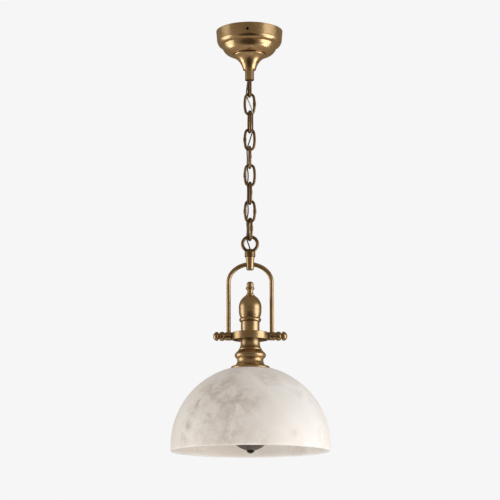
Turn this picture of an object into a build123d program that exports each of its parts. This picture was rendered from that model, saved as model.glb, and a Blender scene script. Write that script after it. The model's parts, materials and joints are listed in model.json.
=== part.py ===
from build123d import *
import os
from math import atan2, asin, cos, degrees, radians, sin, sqrt

# Alabaster pendant light: brass canopy, chain with a cord woven through it, tilting bail and stone dome.
# The ceiling is the plane z = 0, the light hangs along -Z, and its front is -Y. All sizes are in millimetres.

# Clearances
THREAD_FIT = 0.05  # radial, between screwed or seated pieces that stay together
RUNNING_FIT = 0.06  # radial, between pieces that turn on each other
FACE_GAP = 0.1  # between flat faces that turn past each other
LINK_GAP = 0.3  # between a hanging link and the wire that carries it
LEAD_GAP = 0.3  # between the ends of two lengths of cord

# Canopy
CANOPY_TOP_RADIUS = 65.0
CANOPY_TAPER = 1.8
CANOPY_SKIRT_HEIGHT = 20.0
CANOPY_STEP = 0.8
CANOPY_SHOULDER_INSET = 9.2
CANOPY_SHOULDER_HEIGHT = 9.5
CANOPY_SHOULDER_BOW = 2.4
CANOPY_BOWL_INSET = 20.6
CANOPY_BOWL_HEIGHT = 17.8
CANOPY_BOWL_BOW = 4.8
CANOPY_WALL = 1.5

# Mounting strap inside the canopy, turned a little from front to back
STRAP_TURN = -3.3
STRAP_WIDTH = 22.0
STRAP_THICKNESS = 2.0
EAR_SHORT = 1.0
EAR_CLEARANCE = 0.7
STRAP_BEND = 1.5
CEILING_HOLE_PCD = 70.0
CEILING_HOLE_RADIUS = 2.25
SIDE_SCREW_RADIUS = 2.5
SIDE_SCREW_DROP = 13.2
SIDE_SCREW_RECESS = 1.2
SIDE_SCREW_TAIL = 3.0
SIDE_HOLE_RADIUS = 2.75
SLOT_WIDTH = 0.8
SLOT_DEPTH = 0.8
GROUND_SCREW_RADIUS = 2.0
GROUND_HEAD_RADIUS = 4.0
GROUND_HEAD_HEIGHT = 2.6
GROUND_HEAD_ROUND = 0.85
GROUND_SCREW_OFFSET = 22.0

# Terminal block on the strap
BLOCK_NEAR_FACE = 23.5
BLOCK_LENGTH = 15.0
BLOCK_WIDTH = 24.0
BLOCK_HEIGHT = 14.0
BLOCK_EDGE = 1.0
TERMINAL_SCREW_RADIUS = 1.9
TERMINAL_SCREW_DEPTH = 6.0
TERMINAL_SCREW_SPACING = 7.0
TERMINAL_SCREW_COUNT = 3

# Hollow nipples and the centre pipe share one thread
PIPE_RADIUS = 5.0
PIPE_BORE = 3.5
NUT_FLATS = 17.0
NUT_HEIGHT = 5.0
NIPPLE_WASHER_RADIUS = 12.0
NIPPLE_WASHER_THICKNESS = 1.5
NIPPLE_ABOVE_NUT = 2.5
GRIP_RADIUS = 7.0
GRIP_HEIGHT = 8.0
GRIP_EDGE = 1.75

# Bell, collar and hanger loop
BELL_LIP_INSET = 1.1
BELL_LIP_HEIGHT = 3.0
BELL_LIP_ROUND = 1.4
BELL_LIP_BOW = 1.05
BELL_FOOT_RADIUS = 12.6
BELL_FOOT_HEIGHT = 1.0
BELL_FLOOR = 3.0
BELL_HEIGHT = 30.9
BELL_HOLLOW = 3.6
BELL_WALL = 1.6
COLLAR_RADIUS = 8.8
COLLAR_LENGTH = 20.1
COLLAR_SOCKET_DEPTH = 7.3
COLLAR_FLOOR = 6.5
COLLAR_EDGE = 0.3
COLLAR_CORD_HOLE_RADIUS = 2.6
COLLAR_CORD_HOLE_OFFSET = -1.2
LOOP_WIRE = 4.5
LOOP_HALF_WIDTH = 5.95
LOOP_REACH = 32.95
LOOP_LEG_DEPTH = 5.5
LOOP_TURN = 18.0
COLLAR_MOUTH_GAP = 0.15

# Chain
LINK_COUNT = 8
LINK_WIRE = 5.2
LINK_WIDTH = 24.0
LINK_PITCH = 35.5
LINK_END_RADIUS = 8.2
SEAM_RADIUS = 3.15
SEAM_LENGTH = 8.0
SEAM_CHAMFER = 0.2
SEAM_GROOVE = 0.35
SEAM_SIDES = ((1,), (-1,), (-1,), (-1,), (-1,), (-1,), (-1, 1), (-1,))
LINK_TURNS = (0.0, 12.0, 0.0, 4.0, 0.0, 12.0, 0.0, 18.0)

# Suspension ring with its cup
RING_WIRE = 6.4
RING_RADIUS = 14.2
CUP_RADIUS = 10.2
CUP_CROWN_RADIUS = 5.0
CUP_FOOT_RADIUS = 9.0
CUP_RISE = 9.2
CUP_BODY = 6.8
CUP_TOP_DROP = 10.3
CUP_DOME_BOW = 1.9
CUP_GROOVE = 0.5
CUP_GROOVE_DROP = 1.7
CUP_TAPER_HEIGHT = 1.7
CUP_CORD_HOLE_RADIUS = 2.2
CUP_THREAD_DEPTH = 7.0

# Bail
STEM_TOP_RADIUS = 8.2
STEM_FOOT_RADIUS = 7.0
STEM_LENGTH = 24.5
STEM_THREAD_DEPTH = 7.0
STEM_CAVITY_RADIUS = 4.2
STEM_FLOOR = 4.0
STEM_FOOT_ROUND = 1.5
STEM_FOOT_BOW = 0.4
BAIL_SHOULDER_INSET = 8.65
BAIL_CROWN_RISE = 3.3
BAIL_DROP = 13.4
BAIL_TUBE_RADIUS = 4.1
BAIL_TUBE_WALL = 1.2
BAIL_LEG = 103.0
BAIL_START = 5.5

# Tilting pivot
EYE_RADIUS = 8.1
EYE_WIDTH = 11.0
ARM_OFFSET = 5.15
EYE_EDGE = 0.8
EYE_SOCKET_DEPTH = 3.2
SLEEVE_RADIUS = 3.9
SLEEVE_BORE = 2.6
SLEEVE_PROUD = 1.5
SLEEVE_IN_KNOB = 9.0
WINDOW_SILL = 0.5
WINDOW_MARGIN = 1.0
WASHER_RADIUS = 7.6
WASHER_THICKNESS = 2.0
KNOB_SHOULDER_RADIUS = 7.0
KNOB_SHOULDER_WIDTH = 1.6
KNOB_BEAD_WIDTH = 9.4
KNOB_BEAD_EDGE_RADIUS = 7.2
KNOB_BEAD_BOW = 1.6
KNOB_GROOVE_RADIUS = 5.7
KNOB_GROOVE_WIDTH = 1.8
KNOB_BALL_RADIUS = 8.8
KNOB_BALL_RISE = 3.6
KNOB_BALL_DOME = 7.0
KNOB_BALL_RISE_BOW = 0.9

# Turned column above the pivot
RING_SKIRT_RADIUS = 34.6
RING_SKIRT_HEIGHT = 13.8
RING_SKIRT_WALL = 2.2
RING_PLATE = 1.4
RING_EDGE = 0.8
RING_EDGE_BOW = 0.25
RING_FLAT = 0.7
RING_BOSS_RADIUS = 5.0
RING_BOSS_LENGTH = 7.4
NECK_RADIUS = 17.7
NECK_HEIGHT = 20.1
NECK_WALL = 2.0
CHECK_RING_RADIUS = 18.3
CHECK_RING_HEIGHT = 8.5
CHECK_RING_BOW = 2.6
URN_FOOT_RADIUS = 18.4
URN_RADIUS = 21.4
URN_CROWN_RADIUS = 9.0
URN_HEIGHT = 42.4
URN_BELLY_HEIGHT = 15.4
URN_UPPER_BOW = 4.4
URN_LOWER_BOW = 1.1
URN_WALL = 1.8
URN_CROWN_WALL = 3.0
FINIAL_FLARE_RADIUS = 8.8
FINIAL_FLARE_HEIGHT = 1.6
FINIAL_COVE_HEIGHT = 3.2
FINIAL_COVE_BOW = 0.7
FINIAL_NECK_RADIUS = 6.0
FINIAL_NECK_HEIGHT = 7.2
FINIAL_RING_RADIUS = 7.4
FINIAL_RING_HEIGHT = 4.2
FINIAL_RING_BOW = 1.1
FINIAL_TIP_RADIUS = 6.7
FINIAL_TIP_HEIGHT = 7.0
FINIAL_DOME_HEIGHT = 4.4
FINIAL_STUD_LENGTH = 14.0
PIPE_BELOW_CROWN = 5.0
PIPE_WINDOW_CORNER = 2.1

# Shade holder, from the collar ring down to the flange on the shade
HOLDER_NECK_RADIUS = 18.3
HOLDER_NECK_HEIGHT = 19.3
HOLDER_COVE_RADIUS = 21.2
HOLDER_COVE_HEIGHT = 10.6
HOLDER_COVE_BOW = 0.74
HOLDER_FILLET_STEP = 0.8
HOLDER_FILLET_HEIGHT = 1.7
HOLDER_SLOPE_RADIUS = 27.8
HOLDER_SLOPE_HEIGHT = 6.2
HOLDER_BEAD_HEIGHT = 8.6
HOLDER_BEAD_BOW = 1.9
HOLDER_UNDERCUT_RADIUS = 25.3
HOLDER_UNDERCUT_HEIGHT = 2.4
HOLDER_WAIST_RADIUS = 26.0
HOLDER_WAIST_HEIGHT = 8.55
HOLDER_WAIST_BOW = 0.9
HOLDER_FLARE_RADIUS = 34.6
HOLDER_FLARE_HEIGHT = 5.6
HOLDER_FLARE_BOW = 1.4
HOLDER_FLANGE_RADIUS = 36.4
HOLDER_FLANGE_HEIGHT = 5.9
HOLDER_FLANGE_BOW = 1.6
HOLDER_BORE = 13.0
HOLDER_LEDGE = 3.0
HOLDER_WELL_RADIUS = 20.5
HOLDER_WELL_DEPTH = 12.0
LEAD_HOLE_RADIUS = 2.4

# Shade and its clamp
GASKET_THICKNESS = 1.0
GASKET_MARGIN = 1.2
SHADE_RADIUS = 150.0
SHADE_WALL = 8.0
SHADE_SEAT_RADIUS = 47.6
SHADE_INNER_SEAT_RADIUS = 39.0
SHADE_SKIRT = 11.2
SHADE_HOLE_RADIUS = 21.0
SHADE_RIM_ROUND = 1.6
SHADE_WASHER_RADIUS = 33.0
SHADE_WASHER_THICKNESS = 2.0

# Lampholder for a 27 mm Edison screw base
CAP_BELOW_NUT = 1.2
CAP_RADIUS = 20.6
CAP_WALL = 1.2
CAP_PLATE = 4.0
CAP_HEIGHT = 15.0
CAP_ROUND = 3.0
CAP_ROUND_BOW = 0.88
WIRING_SPACE = 4.0
PORCELAIN_HEIGHT = 44.0
PORCELAIN_ROOF = 14.0
SHELL_BORE = 13.5
SHELL_WALL = 0.8
SHELL_SHORT = 2.0
CONTACT_RADIUS = 3.5
CONTACT_STEM_RADIUS = 1.75
CONTACT_HEIGHT = 3.0
CONTACT_ROUND = 0.75

# Globe bulb
BULB_CONTACT_GAP = 0.3
BASE_RADIUS = 13.1
BASE_WALL = 0.6
BASE_LENGTH = 22.0
BASE_THREAD_PITCH = 3.6
BASE_THREAD_DEPTH = 0.5
BASE_GROOVE_COUNT = 5
INSULATOR_HEIGHT = 3.2
INSULATOR_TOP_RADIUS = 5.5
TIP_CONTACT_RADIUS = 4.0
TIP_CONTACT_HEIGHT = 1.0
TIP_CONTACT_ROUND = 0.5
GLOBE_RADIUS = 40.0
GLASS_WALL = 0.9
GLASS_IN_BASE = 6.0
GLASS_NECK_LENGTH = 2.0
BULB_LENGTH = 112.0
PIP_RADIUS = 8.2
PIP_LENGTH = 5.2
MOUNT_TOP_RADIUS = 6.0
MOUNT_LENGTH = 20.0
MOUNT_SHOULDER = 5.0
MOUNT_ROD_RADIUS = 1.4
MOUNT_ROD_LENGTH = 42.0
SPIDER_RADIUS = 9.0
SPIDER_THICKNESS = 1.0
FILAMENT_COUNT = 4
FILAMENT_RADIUS = 0.9
FILAMENT_CIRCLE = 7.0
FILAMENT_START_ANGLE = 45.0

# Cord, in three lengths: through the chain, in the right-hand bail arm, and from the pivot to the lampholder
CORD_RADIUS = 1.3
STEM_BEND_RADIUS = 6.0
EYE_BEND_RADIUS = 4.0
PIPE_BEND_RADIUS = 10.0
CORD_ENTRY = 3.0
CORD_LEVEL = 9.0
CORD_LEVEL_END = 13.0
CORNER_SHARE = 0.45
CORD_ROUTE = [
    (0.25, 4.2, -13.8),
    (0.0, 0.2, -23.0),
    (0.0, 0.0, -34.0),
    (0.2, 0.1, -55.0),
    (-0.3, 0.0, -78.0),
    (-2.5, 0.4, -94.5),
    (-4.9, 2.7, -111.0),
    (-6.8, 5.0, -128.9),
    (0.8, 0.3, -147.0),
    (6.1, -5.0, -164.4),
    (5.7, -4.5, -182.0),
    (6.0, -5.1, -199.9),
    (0.9, -0.2, -217.5),
    (-5.8, 5.5, -235.4),
    (-4.4, 4.6, -253.0),
    (-5.2, 5.0, -270.9),
    (-2.6, 0.3, -288.6),
    (-4.7, -5.0, -306.4),
    (-4.0, -4.5, -324.0),
    (-4.7, -5.0, -341.9),
    (-2.6, -0.2, -359.6),
    (-6.6, 5.1, -377.4),
    (-4.6, 4.2, -395.0),
    (-6.8, 5.4, -412.5),
    (-2.4, 1.6, -425.0),
    (-0.2, 0.1, -436.0),
    (0.0, 0.0, -448.0),
]

# Radii and distances that follow from the sizes above
canopy_skirt_radius = CANOPY_TOP_RADIUS - CANOPY_TAPER
canopy_shoulder_radius = canopy_skirt_radius - CANOPY_SHOULDER_INSET
canopy_base_radius = canopy_shoulder_radius - CANOPY_BOWL_INSET
bell_lip_radius = canopy_base_radius - BELL_LIP_INSET
ear_drop = CANOPY_SKIRT_HEIGHT - EAR_SHORT
washer_inner_face = RING_SKIRT_RADIUS - RING_FLAT
washer_outer_face = washer_inner_face + WASHER_THICKNESS
ring_boss_inner_end = washer_inner_face - RING_BOSS_LENGTH
sleeve_inner_end = ring_boss_inner_end - SLEEVE_PROUD
eye_inner_face = washer_outer_face + FACE_GAP
bail_half_span = eye_inner_face + ARM_OFFSET
bail_shoulder_radius = bail_half_span - BAIL_SHOULDER_INSET
bail_rise = bail_shoulder_radius + BAIL_CROWN_RISE

# Heights that follow from the sizes above, from the ceiling down
canopy_shoulder_z = -(CANOPY_SKIRT_HEIGHT + CANOPY_SHOULDER_HEIGHT)
canopy_base_z = canopy_shoulder_z - CANOPY_BOWL_HEIGHT
canopy_floor_z = canopy_base_z + CANOPY_WALL
collar_top_z = canopy_base_z - BELL_HEIGHT
collar_foot_z = collar_top_z - COLLAR_LENGTH
nipple_nut_z = canopy_floor_z + NIPPLE_WASHER_THICKNESS
nipple_top_z = nipple_nut_z + NUT_HEIGHT + NIPPLE_ABOVE_NUT
loop_z = collar_foot_z - LOOP_REACH
link_length = LINK_PITCH + LINK_WIRE + LINK_GAP
first_link_top_z = loop_z + (LOOP_WIRE + LINK_WIRE) / 2 + LINK_GAP
link_top_z = [first_link_top_z - LINK_PITCH * number for number in range(LINK_COUNT)]
last_link_foot_z = link_top_z[-1] - link_length
ring_z = last_link_foot_z + (LINK_WIRE + RING_WIRE) / 2 + LINK_GAP - RING_RADIUS
cup_top_z = ring_z - CUP_TOP_DROP
cup_foot_z = cup_top_z - CUP_RISE - CUP_BODY
stem_foot_z = cup_foot_z - STEM_LENGTH
arch_top_z = cup_foot_z - BAIL_DROP
spring_z = arch_top_z - bail_rise
pivot_z = spring_z - BAIL_LEG
ring_top_z = pivot_z + RING_SKIRT_HEIGHT / 2
ring_foot_z = ring_top_z - RING_SKIRT_HEIGHT
neck_top_z = ring_top_z + NECK_HEIGHT
urn_foot_z = neck_top_z + CHECK_RING_HEIGHT
urn_top_z = urn_foot_z + URN_HEIGHT
pipe_top_z = urn_top_z - PIPE_BELOW_CROWN
holder_top_z = ring_top_z - RING_PLATE
holder_cove_z = holder_top_z - HOLDER_NECK_HEIGHT - HOLDER_COVE_HEIGHT
holder_slope_z = holder_cove_z - HOLDER_FILLET_HEIGHT
holder_bead_z = holder_slope_z - HOLDER_SLOPE_HEIGHT
holder_undercut_z = holder_bead_z - HOLDER_BEAD_HEIGHT
holder_waist_z = holder_undercut_z - HOLDER_UNDERCUT_HEIGHT
holder_flare_z = holder_waist_z - HOLDER_WAIST_HEIGHT
holder_flange_z = holder_flare_z - HOLDER_FLARE_HEIGHT
holder_foot_z = holder_flange_z - HOLDER_FLANGE_HEIGHT
shade_seat_z = holder_foot_z - GASKET_THICKNESS
shade_centre_z = shade_seat_z - sqrt(SHADE_RADIUS**2 - SHADE_SEAT_RADIUS**2)
shade_rim_z = shade_centre_z - SHADE_SKIRT
shade_inner_radius = SHADE_RADIUS - SHADE_WALL
shade_inner_seat_z = shade_centre_z + sqrt(shade_inner_radius**2 - SHADE_INNER_SEAT_RADIUS**2)
shade_washer_z = shade_inner_seat_z - GASKET_THICKNESS
shade_nut_z = shade_washer_z - SHADE_WASHER_THICKNESS
cap_top_z = shade_nut_z - NUT_HEIGHT - CAP_BELOW_NUT
pipe_foot_z = cap_top_z - CAP_PLATE
porcelain_top_z = pipe_foot_z - WIRING_SPACE
porcelain_foot_z = porcelain_top_z - PORCELAIN_HEIGHT
socket_roof_z = porcelain_top_z - PORCELAIN_ROOF
bulb_top_z = socket_roof_z - CONTACT_HEIGHT - BULB_CONTACT_GAP
base_top_z = bulb_top_z - TIP_CONTACT_HEIGHT - INSULATOR_HEIGHT
base_foot_z = base_top_z - BASE_LENGTH
globe_foot_z = bulb_top_z - BULB_LENGTH
globe_centre_z = globe_foot_z + GLOBE_RADIUS

# Directions along and across the mounting strap
strap_along = Vector(0, 1, 0).rotate(Axis.Z, STRAP_TURN)
strap_across = Vector(1, 0, 0).rotate(Axis.Z, STRAP_TURN)
skirt_inner_radius = canopy_skirt_radius - CANOPY_WALL
strap_reach = sqrt(skirt_inner_radius**2 - (STRAP_WIDTH / 2) ** 2) - EAR_CLEARANCE
cord_entry = strap_along * (BLOCK_NEAR_FACE + CORD_ENTRY) - Vector(0, 0, CORD_LEVEL)
cord_level_end = strap_along * CORD_LEVEL_END - Vector(0, 0, CORD_LEVEL)
pivot_axis = Axis((0, 0, pivot_z), (1, 0, 0))


def save(piece, name):
    """Label a finished piece and write it to its own file."""
    piece.part.label = name
    export_step(piece.part, f"parts/{name}.step")


def turned(*points, plane=Plane.XZ, axis=Axis.Z, mode=Mode.ADD):
    """Turn a closed outline about an axis.

    A point is (radius, height), or (radius, height, bow) where an arc of that sagitta leads to it.
    A bow is positive to the left of the way that the outline goes.
    """
    with BuildSketch(plane) as outline:
        with BuildLine():
            for start, end in zip(points, points[1:] + points[:1]):
                if len(end) == 3:
                    SagittaArc(start[:2], end[:2], end[2])
                else:
                    Line(start[:2], end)
        make_face()
    revolve(outline.sketch, axis=axis, mode=mode)


def ring(inner, outer, top, foot, mode=Mode.ADD):
    """A flat ring about Z between two heights."""
    turned((inner, top), (outer, top), (outer, foot), (inner, foot), mode=mode)


def rod(radius, top, foot, mode=Mode.ADD):
    """A plain cylinder on Z between two heights."""
    turned((0, top), (radius, top), (radius, foot), (0, foot), mode=mode)


def hex_nut(top, foot):
    """A hexagon nut on the pipe thread, with its bore."""
    with BuildSketch(Plane.XY.offset(foot)) as hexagon:
        RegularPolygon(NUT_FLATS / 2, 6, major_radius=False)
        Circle(PIPE_RADIUS + THREAD_FIT, mode=Mode.SUBTRACT)
    extrude(hexagon.sketch, amount=top - foot)


def strap_plane(direction, height):
    """A plane square to the strap, facing along it in the given direction."""
    return Plane(origin=(0, 0, height), x_dir=strap_across, z_dir=strap_along * direction)


def pivot_plane(side):
    """A plane with its first axis outward along the pivot and its second axis up."""
    return Plane(origin=(0, 0, pivot_z), x_dir=(side, 0, 0), z_dir=(0, -side, 0))


def cap_bow(radius, height):
    """The bow of the arc from the edge of a round cap to its tip."""
    sphere = (radius**2 + height**2) / (2 * height)
    return sphere - sqrt(sphere**2 - (radius**2 + height**2) / 4)


def skirt_radius(depth):
    """The canopy's outer radius at a depth on its tapered skirt."""
    return CANOPY_TOP_RADIUS + (canopy_skirt_radius - CANOPY_TOP_RADIUS) * depth / CANOPY_SKIRT_HEIGHT


os.makedirs("parts", exist_ok=True)

# Canopy: spun shell with a tapered skirt, a rounded shoulder and a bowl, drilled for the two side screws
with BuildPart() as canopy:
    turned(
        (CANOPY_TOP_RADIUS, 0),
        (canopy_skirt_radius, -CANOPY_SKIRT_HEIGHT),
        (canopy_skirt_radius - CANOPY_STEP, -CANOPY_SKIRT_HEIGHT - CANOPY_STEP / 2),
        (canopy_shoulder_radius, canopy_shoulder_z, CANOPY_SHOULDER_BOW),
        (canopy_shoulder_radius - CANOPY_STEP / 2, canopy_shoulder_z - CANOPY_STEP / 2),
        (canopy_base_radius, canopy_base_z, CANOPY_BOWL_BOW),
        (PIPE_RADIUS + THREAD_FIT, canopy_base_z),
        (PIPE_RADIUS + THREAD_FIT, canopy_floor_z),
        (canopy_base_radius, canopy_floor_z),
        (canopy_shoulder_radius - CANOPY_WALL, canopy_shoulder_z, -CANOPY_BOWL_BOW),
        (skirt_inner_radius - CANOPY_STEP, -CANOPY_SKIRT_HEIGHT, -CANOPY_SHOULDER_BOW),
        (CANOPY_TOP_RADIUS - CANOPY_WALL, 0),
    )
    for direction in (-1, 1):
        with BuildSketch(strap_plane(direction, -SIDE_SCREW_DROP)):
            Circle(SIDE_HOLE_RADIUS)
        extrude(amount=CANOPY_TOP_RADIUS, mode=Mode.SUBTRACT)
save(canopy, "canopy")

# Mounting strap: flat bar on the ceiling with both ends bent down, threaded for the side screws
with BuildPart() as mounting_strap:
    with BuildSketch(Plane(origin=(0, 0, 0), x_dir=strap_along, z_dir=strap_across)):
        with BuildLine():
            bar = Polyline(
                (-strap_reach + STRAP_THICKNESS / 2, -ear_drop),
                (-strap_reach + STRAP_THICKNESS / 2, -STRAP_THICKNESS / 2),
                (strap_reach - STRAP_THICKNESS / 2, -STRAP_THICKNESS / 2),
                (strap_reach - STRAP_THICKNESS / 2, -ear_drop),
            )
            fillet(bar.vertices().sort_by(Axis.Z)[-2:], STRAP_BEND + STRAP_THICKNESS / 2)
            offset(amount=STRAP_THICKNESS / 2, side=Side.BOTH)
        make_face()
    extrude(amount=STRAP_WIDTH / 2, both=True)
    with BuildSketch(Plane.XY.rotated((0, 0, STRAP_TURN))):
        with Locations((0, CEILING_HOLE_PCD / 2), (0, -CEILING_HOLE_PCD / 2)):
            Circle(CEILING_HOLE_RADIUS)
        with Locations((0, -GROUND_SCREW_OFFSET)):
            Circle(GROUND_SCREW_RADIUS + THREAD_FIT)
    extrude(amount=-STRAP_THICKNESS, mode=Mode.SUBTRACT)
    for direction in (-1, 1):
        with BuildSketch(strap_plane(direction, -SIDE_SCREW_DROP)):
            Circle(SIDE_SCREW_RADIUS + THREAD_FIT)
        extrude(amount=CANOPY_TOP_RADIUS, mode=Mode.SUBTRACT)
save(mounting_strap, "mounting_strap")

# Side screws: slotted grub screws through the strap's ears into the canopy's holes
with BuildPart() as side_screws:
    for direction in (-1, 1):
        screw_end = skirt_radius(SIDE_SCREW_DROP) - SIDE_SCREW_RECESS
        screw_start = strap_reach - STRAP_THICKNESS - SIDE_SCREW_TAIL
        with BuildSketch(strap_plane(direction, -SIDE_SCREW_DROP).offset(screw_start)):
            Circle(SIDE_SCREW_RADIUS)
        extrude(amount=screw_end - screw_start)
        with BuildSketch(strap_plane(direction, -SIDE_SCREW_DROP).offset(screw_end - SLOT_DEPTH)):
            Rectangle(2 * SIDE_SCREW_RADIUS, SLOT_WIDTH)
        extrude(amount=SLOT_DEPTH, mode=Mode.SUBTRACT)
save(side_screws, "side_screws")

# Ground screw: pan-head screw through the strap
with BuildPart() as ground_screw:
    ground_plane = Plane(origin=strap_along * -GROUND_SCREW_OFFSET, z_dir=(0, 0, -1))
    with BuildSketch(ground_plane):
        Circle(GROUND_SCREW_RADIUS)
    extrude(amount=STRAP_THICKNESS)
    with BuildSketch(ground_plane.offset(STRAP_THICKNESS)):
        Circle(GROUND_HEAD_RADIUS)
    extrude(amount=GROUND_HEAD_HEIGHT)
    fillet(ground_screw.edges().group_by(Axis.Z)[0], GROUND_HEAD_ROUND)
    with BuildSketch(ground_plane.offset(STRAP_THICKNESS + GROUND_HEAD_HEIGHT - SLOT_DEPTH)):
        Rectangle(2 * GROUND_HEAD_RADIUS, SLOT_WIDTH)
    extrude(amount=SLOT_DEPTH, mode=Mode.SUBTRACT)
save(ground_screw, "ground_screw")

# Terminal block: moulded block under the strap, with three clamping screws set into its underside
block_centre = BLOCK_NEAR_FACE + BLOCK_LENGTH / 2
block_foot_z = -STRAP_THICKNESS - BLOCK_HEIGHT
with BuildPart() as terminal_block:
    with BuildSketch(Plane.XY.offset(-STRAP_THICKNESS).rotated((0, 0, STRAP_TURN))):
        with Locations((0, block_centre)):
            RectangleRounded(BLOCK_WIDTH, BLOCK_LENGTH, BLOCK_EDGE)
    extrude(amount=-BLOCK_HEIGHT)
    with BuildSketch(Plane.XY.offset(block_foot_z).rotated((0, 0, STRAP_TURN))):
        with Locations((0, block_centre)):
            with GridLocations(TERMINAL_SCREW_SPACING, 0, TERMINAL_SCREW_COUNT, 1):
                Circle(TERMINAL_SCREW_RADIUS + THREAD_FIT)
    extrude(amount=TERMINAL_SCREW_DEPTH, mode=Mode.SUBTRACT)
    with BuildSketch(strap_plane(1, -CORD_LEVEL).offset(BLOCK_NEAR_FACE)):
        Circle(CORD_RADIUS + THREAD_FIT)
    extrude(amount=CORD_ENTRY + THREAD_FIT, mode=Mode.SUBTRACT)
save(terminal_block, "terminal_block")

with BuildPart() as terminal_screws:
    with BuildSketch(Plane.XY.offset(block_foot_z + SLOT_DEPTH).rotated((0, 0, STRAP_TURN))):
        with Locations((0, block_centre)):
            with GridLocations(TERMINAL_SCREW_SPACING, 0, TERMINAL_SCREW_COUNT, 1):
                Circle(TERMINAL_SCREW_RADIUS)
    extrude(amount=TERMINAL_SCREW_DEPTH - SLOT_DEPTH)
    with BuildSketch(Plane.XY.offset(block_foot_z + SLOT_DEPTH).rotated((0, 0, STRAP_TURN))):
        with Locations((0, block_centre)):
            with GridLocations(TERMINAL_SCREW_SPACING, 0, TERMINAL_SCREW_COUNT, 1):
                Rectangle(2 * TERMINAL_SCREW_RADIUS, SLOT_WIDTH)
    extrude(amount=SLOT_DEPTH, mode=Mode.SUBTRACT)
save(terminal_screws, "terminal_screws")

# Hanger nipple with its washer and nut: they clamp the bell and the collar under the canopy
with BuildPart() as hanger_nipple:
    ring(PIPE_BORE, PIPE_RADIUS, nipple_top_z, collar_top_z - COLLAR_SOCKET_DEPTH)
save(hanger_nipple, "hanger_nipple")

with BuildPart() as nipple_washer:
    ring(PIPE_RADIUS + THREAD_FIT, NIPPLE_WASHER_RADIUS, nipple_nut_z, canopy_floor_z)
save(nipple_washer, "nipple_washer")

with BuildPart() as nipple_nut:
    hex_nut(nipple_nut_z + NUT_HEIGHT, nipple_nut_z)
save(nipple_nut, "nipple_nut")

# Cord grip: moulded bush on the nipple's mouth
with BuildPart() as cord_grip:
    ring(CORD_RADIUS + LINK_GAP, GRIP_RADIUS, nipple_top_z + GRIP_HEIGHT, nipple_top_z)
    chamfer(cord_grip.edges().group_by(Axis.Z)[-1].sort_by(SortBy.LENGTH)[-1], GRIP_EDGE)
save(cord_grip, "cord_grip")

# Bell: trumpet-shaped shell with a rolled lip against the canopy
bell_lip_foot_z = canopy_base_z - BELL_LIP_HEIGHT
bell_foot_z = collar_top_z + BELL_FOOT_HEIGHT
bell_floor_z = collar_top_z + BELL_FLOOR
with BuildPart() as canopy_bell:
    turned(
        (bell_lip_radius - BELL_LIP_ROUND, canopy_base_z),
        (bell_lip_radius - BELL_LIP_ROUND / 2, bell_lip_foot_z, BELL_LIP_BOW),
        (BELL_FOOT_RADIUS, bell_foot_z, -BELL_HOLLOW),
        (BELL_FOOT_RADIUS - BELL_FOOT_HEIGHT, collar_top_z),
        (PIPE_RADIUS + THREAD_FIT, collar_top_z),
        (PIPE_RADIUS + THREAD_FIT, bell_floor_z),
        (BELL_FOOT_RADIUS - BELL_WALL, bell_floor_z),
        (bell_lip_radius - BELL_LIP_ROUND - BELL_WALL, bell_lip_foot_z, BELL_HOLLOW),
        (bell_lip_radius - BELL_LIP_ROUND - BELL_WALL, canopy_base_z),
    )
save(canopy_bell, "canopy_bell")

# Hanger collar: threaded above, open below, with sockets for the loop's legs and a hole for the cord
loop_across = Vector(0, 1, 0).rotate(Axis.Z, LOOP_TURN)
collar_socket_z = collar_top_z - COLLAR_SOCKET_DEPTH
collar_floor_z = collar_socket_z - COLLAR_FLOOR
with BuildPart() as hanger_collar:
    rod(COLLAR_RADIUS, collar_top_z, collar_foot_z)
    chamfer(hanger_collar.edges().group_by(Axis.Z)[0], COLLAR_EDGE)
    rod(PIPE_RADIUS + THREAD_FIT, collar_top_z, collar_socket_z, mode=Mode.SUBTRACT)
    rod(LOOP_HALF_WIDTH + LOOP_WIRE / 2 + COLLAR_MOUTH_GAP, collar_floor_z, collar_foot_z, mode=Mode.SUBTRACT)
    with BuildSketch(Plane.XY.offset(collar_floor_z)):
        with Locations((COLLAR_CORD_HOLE_OFFSET, 0)):
            Circle(COLLAR_CORD_HOLE_RADIUS)
    extrude(amount=COLLAR_FLOOR, mode=Mode.SUBTRACT)
    with BuildSketch(Plane.XY.offset(collar_floor_z)):
        with Locations(loop_across * LOOP_HALF_WIDTH, loop_across * -LOOP_HALF_WIDTH):
            Circle(LOOP_WIRE / 2 + THREAD_FIT)
    extrude(amount=LOOP_LEG_DEPTH, mode=Mode.SUBTRACT)
save(hanger_collar, "hanger_collar")

# Hanger loop: a U of wire, turned a little from edge-on
loop_bend_z = loop_z + LOOP_HALF_WIDTH
loop_leg_z = collar_floor_z + LOOP_LEG_DEPTH
with BuildPart() as hanger_loop:
    with BuildLine(Plane(origin=(0, 0, 0), x_dir=loop_across, z_dir=loop_across.cross(Vector(0, 0, 1)))):
        leg = Line((-LOOP_HALF_WIDTH, loop_leg_z), (-LOOP_HALF_WIDTH, loop_bend_z))
        bend = JernArc(leg @ 1, leg % 1, LOOP_HALF_WIDTH, 180)
        Line(bend @ 1, (LOOP_HALF_WIDTH, loop_leg_z))
    with BuildSketch(Plane.XY.offset(loop_leg_z)):
        with Locations(loop_across * -LOOP_HALF_WIDTH):
            Circle(LOOP_WIRE / 2)
    sweep()
save(hanger_loop, "hanger_loop")

# Chain links: ovals of two end arcs and two long side arcs, with a seam bead half way down a side
link_half_length = link_length / 2
link_half_width = (LINK_WIDTH - LINK_WIRE) / 2
end_centre = link_half_length - LINK_END_RADIUS
side_bulge = link_half_width - LINK_END_RADIUS
side_radius = (link_half_width**2 + end_centre**2 - LINK_END_RADIUS**2) / (2 * side_bulge)
side_angle = degrees(atan2(end_centre, side_radius - link_half_width))


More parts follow.
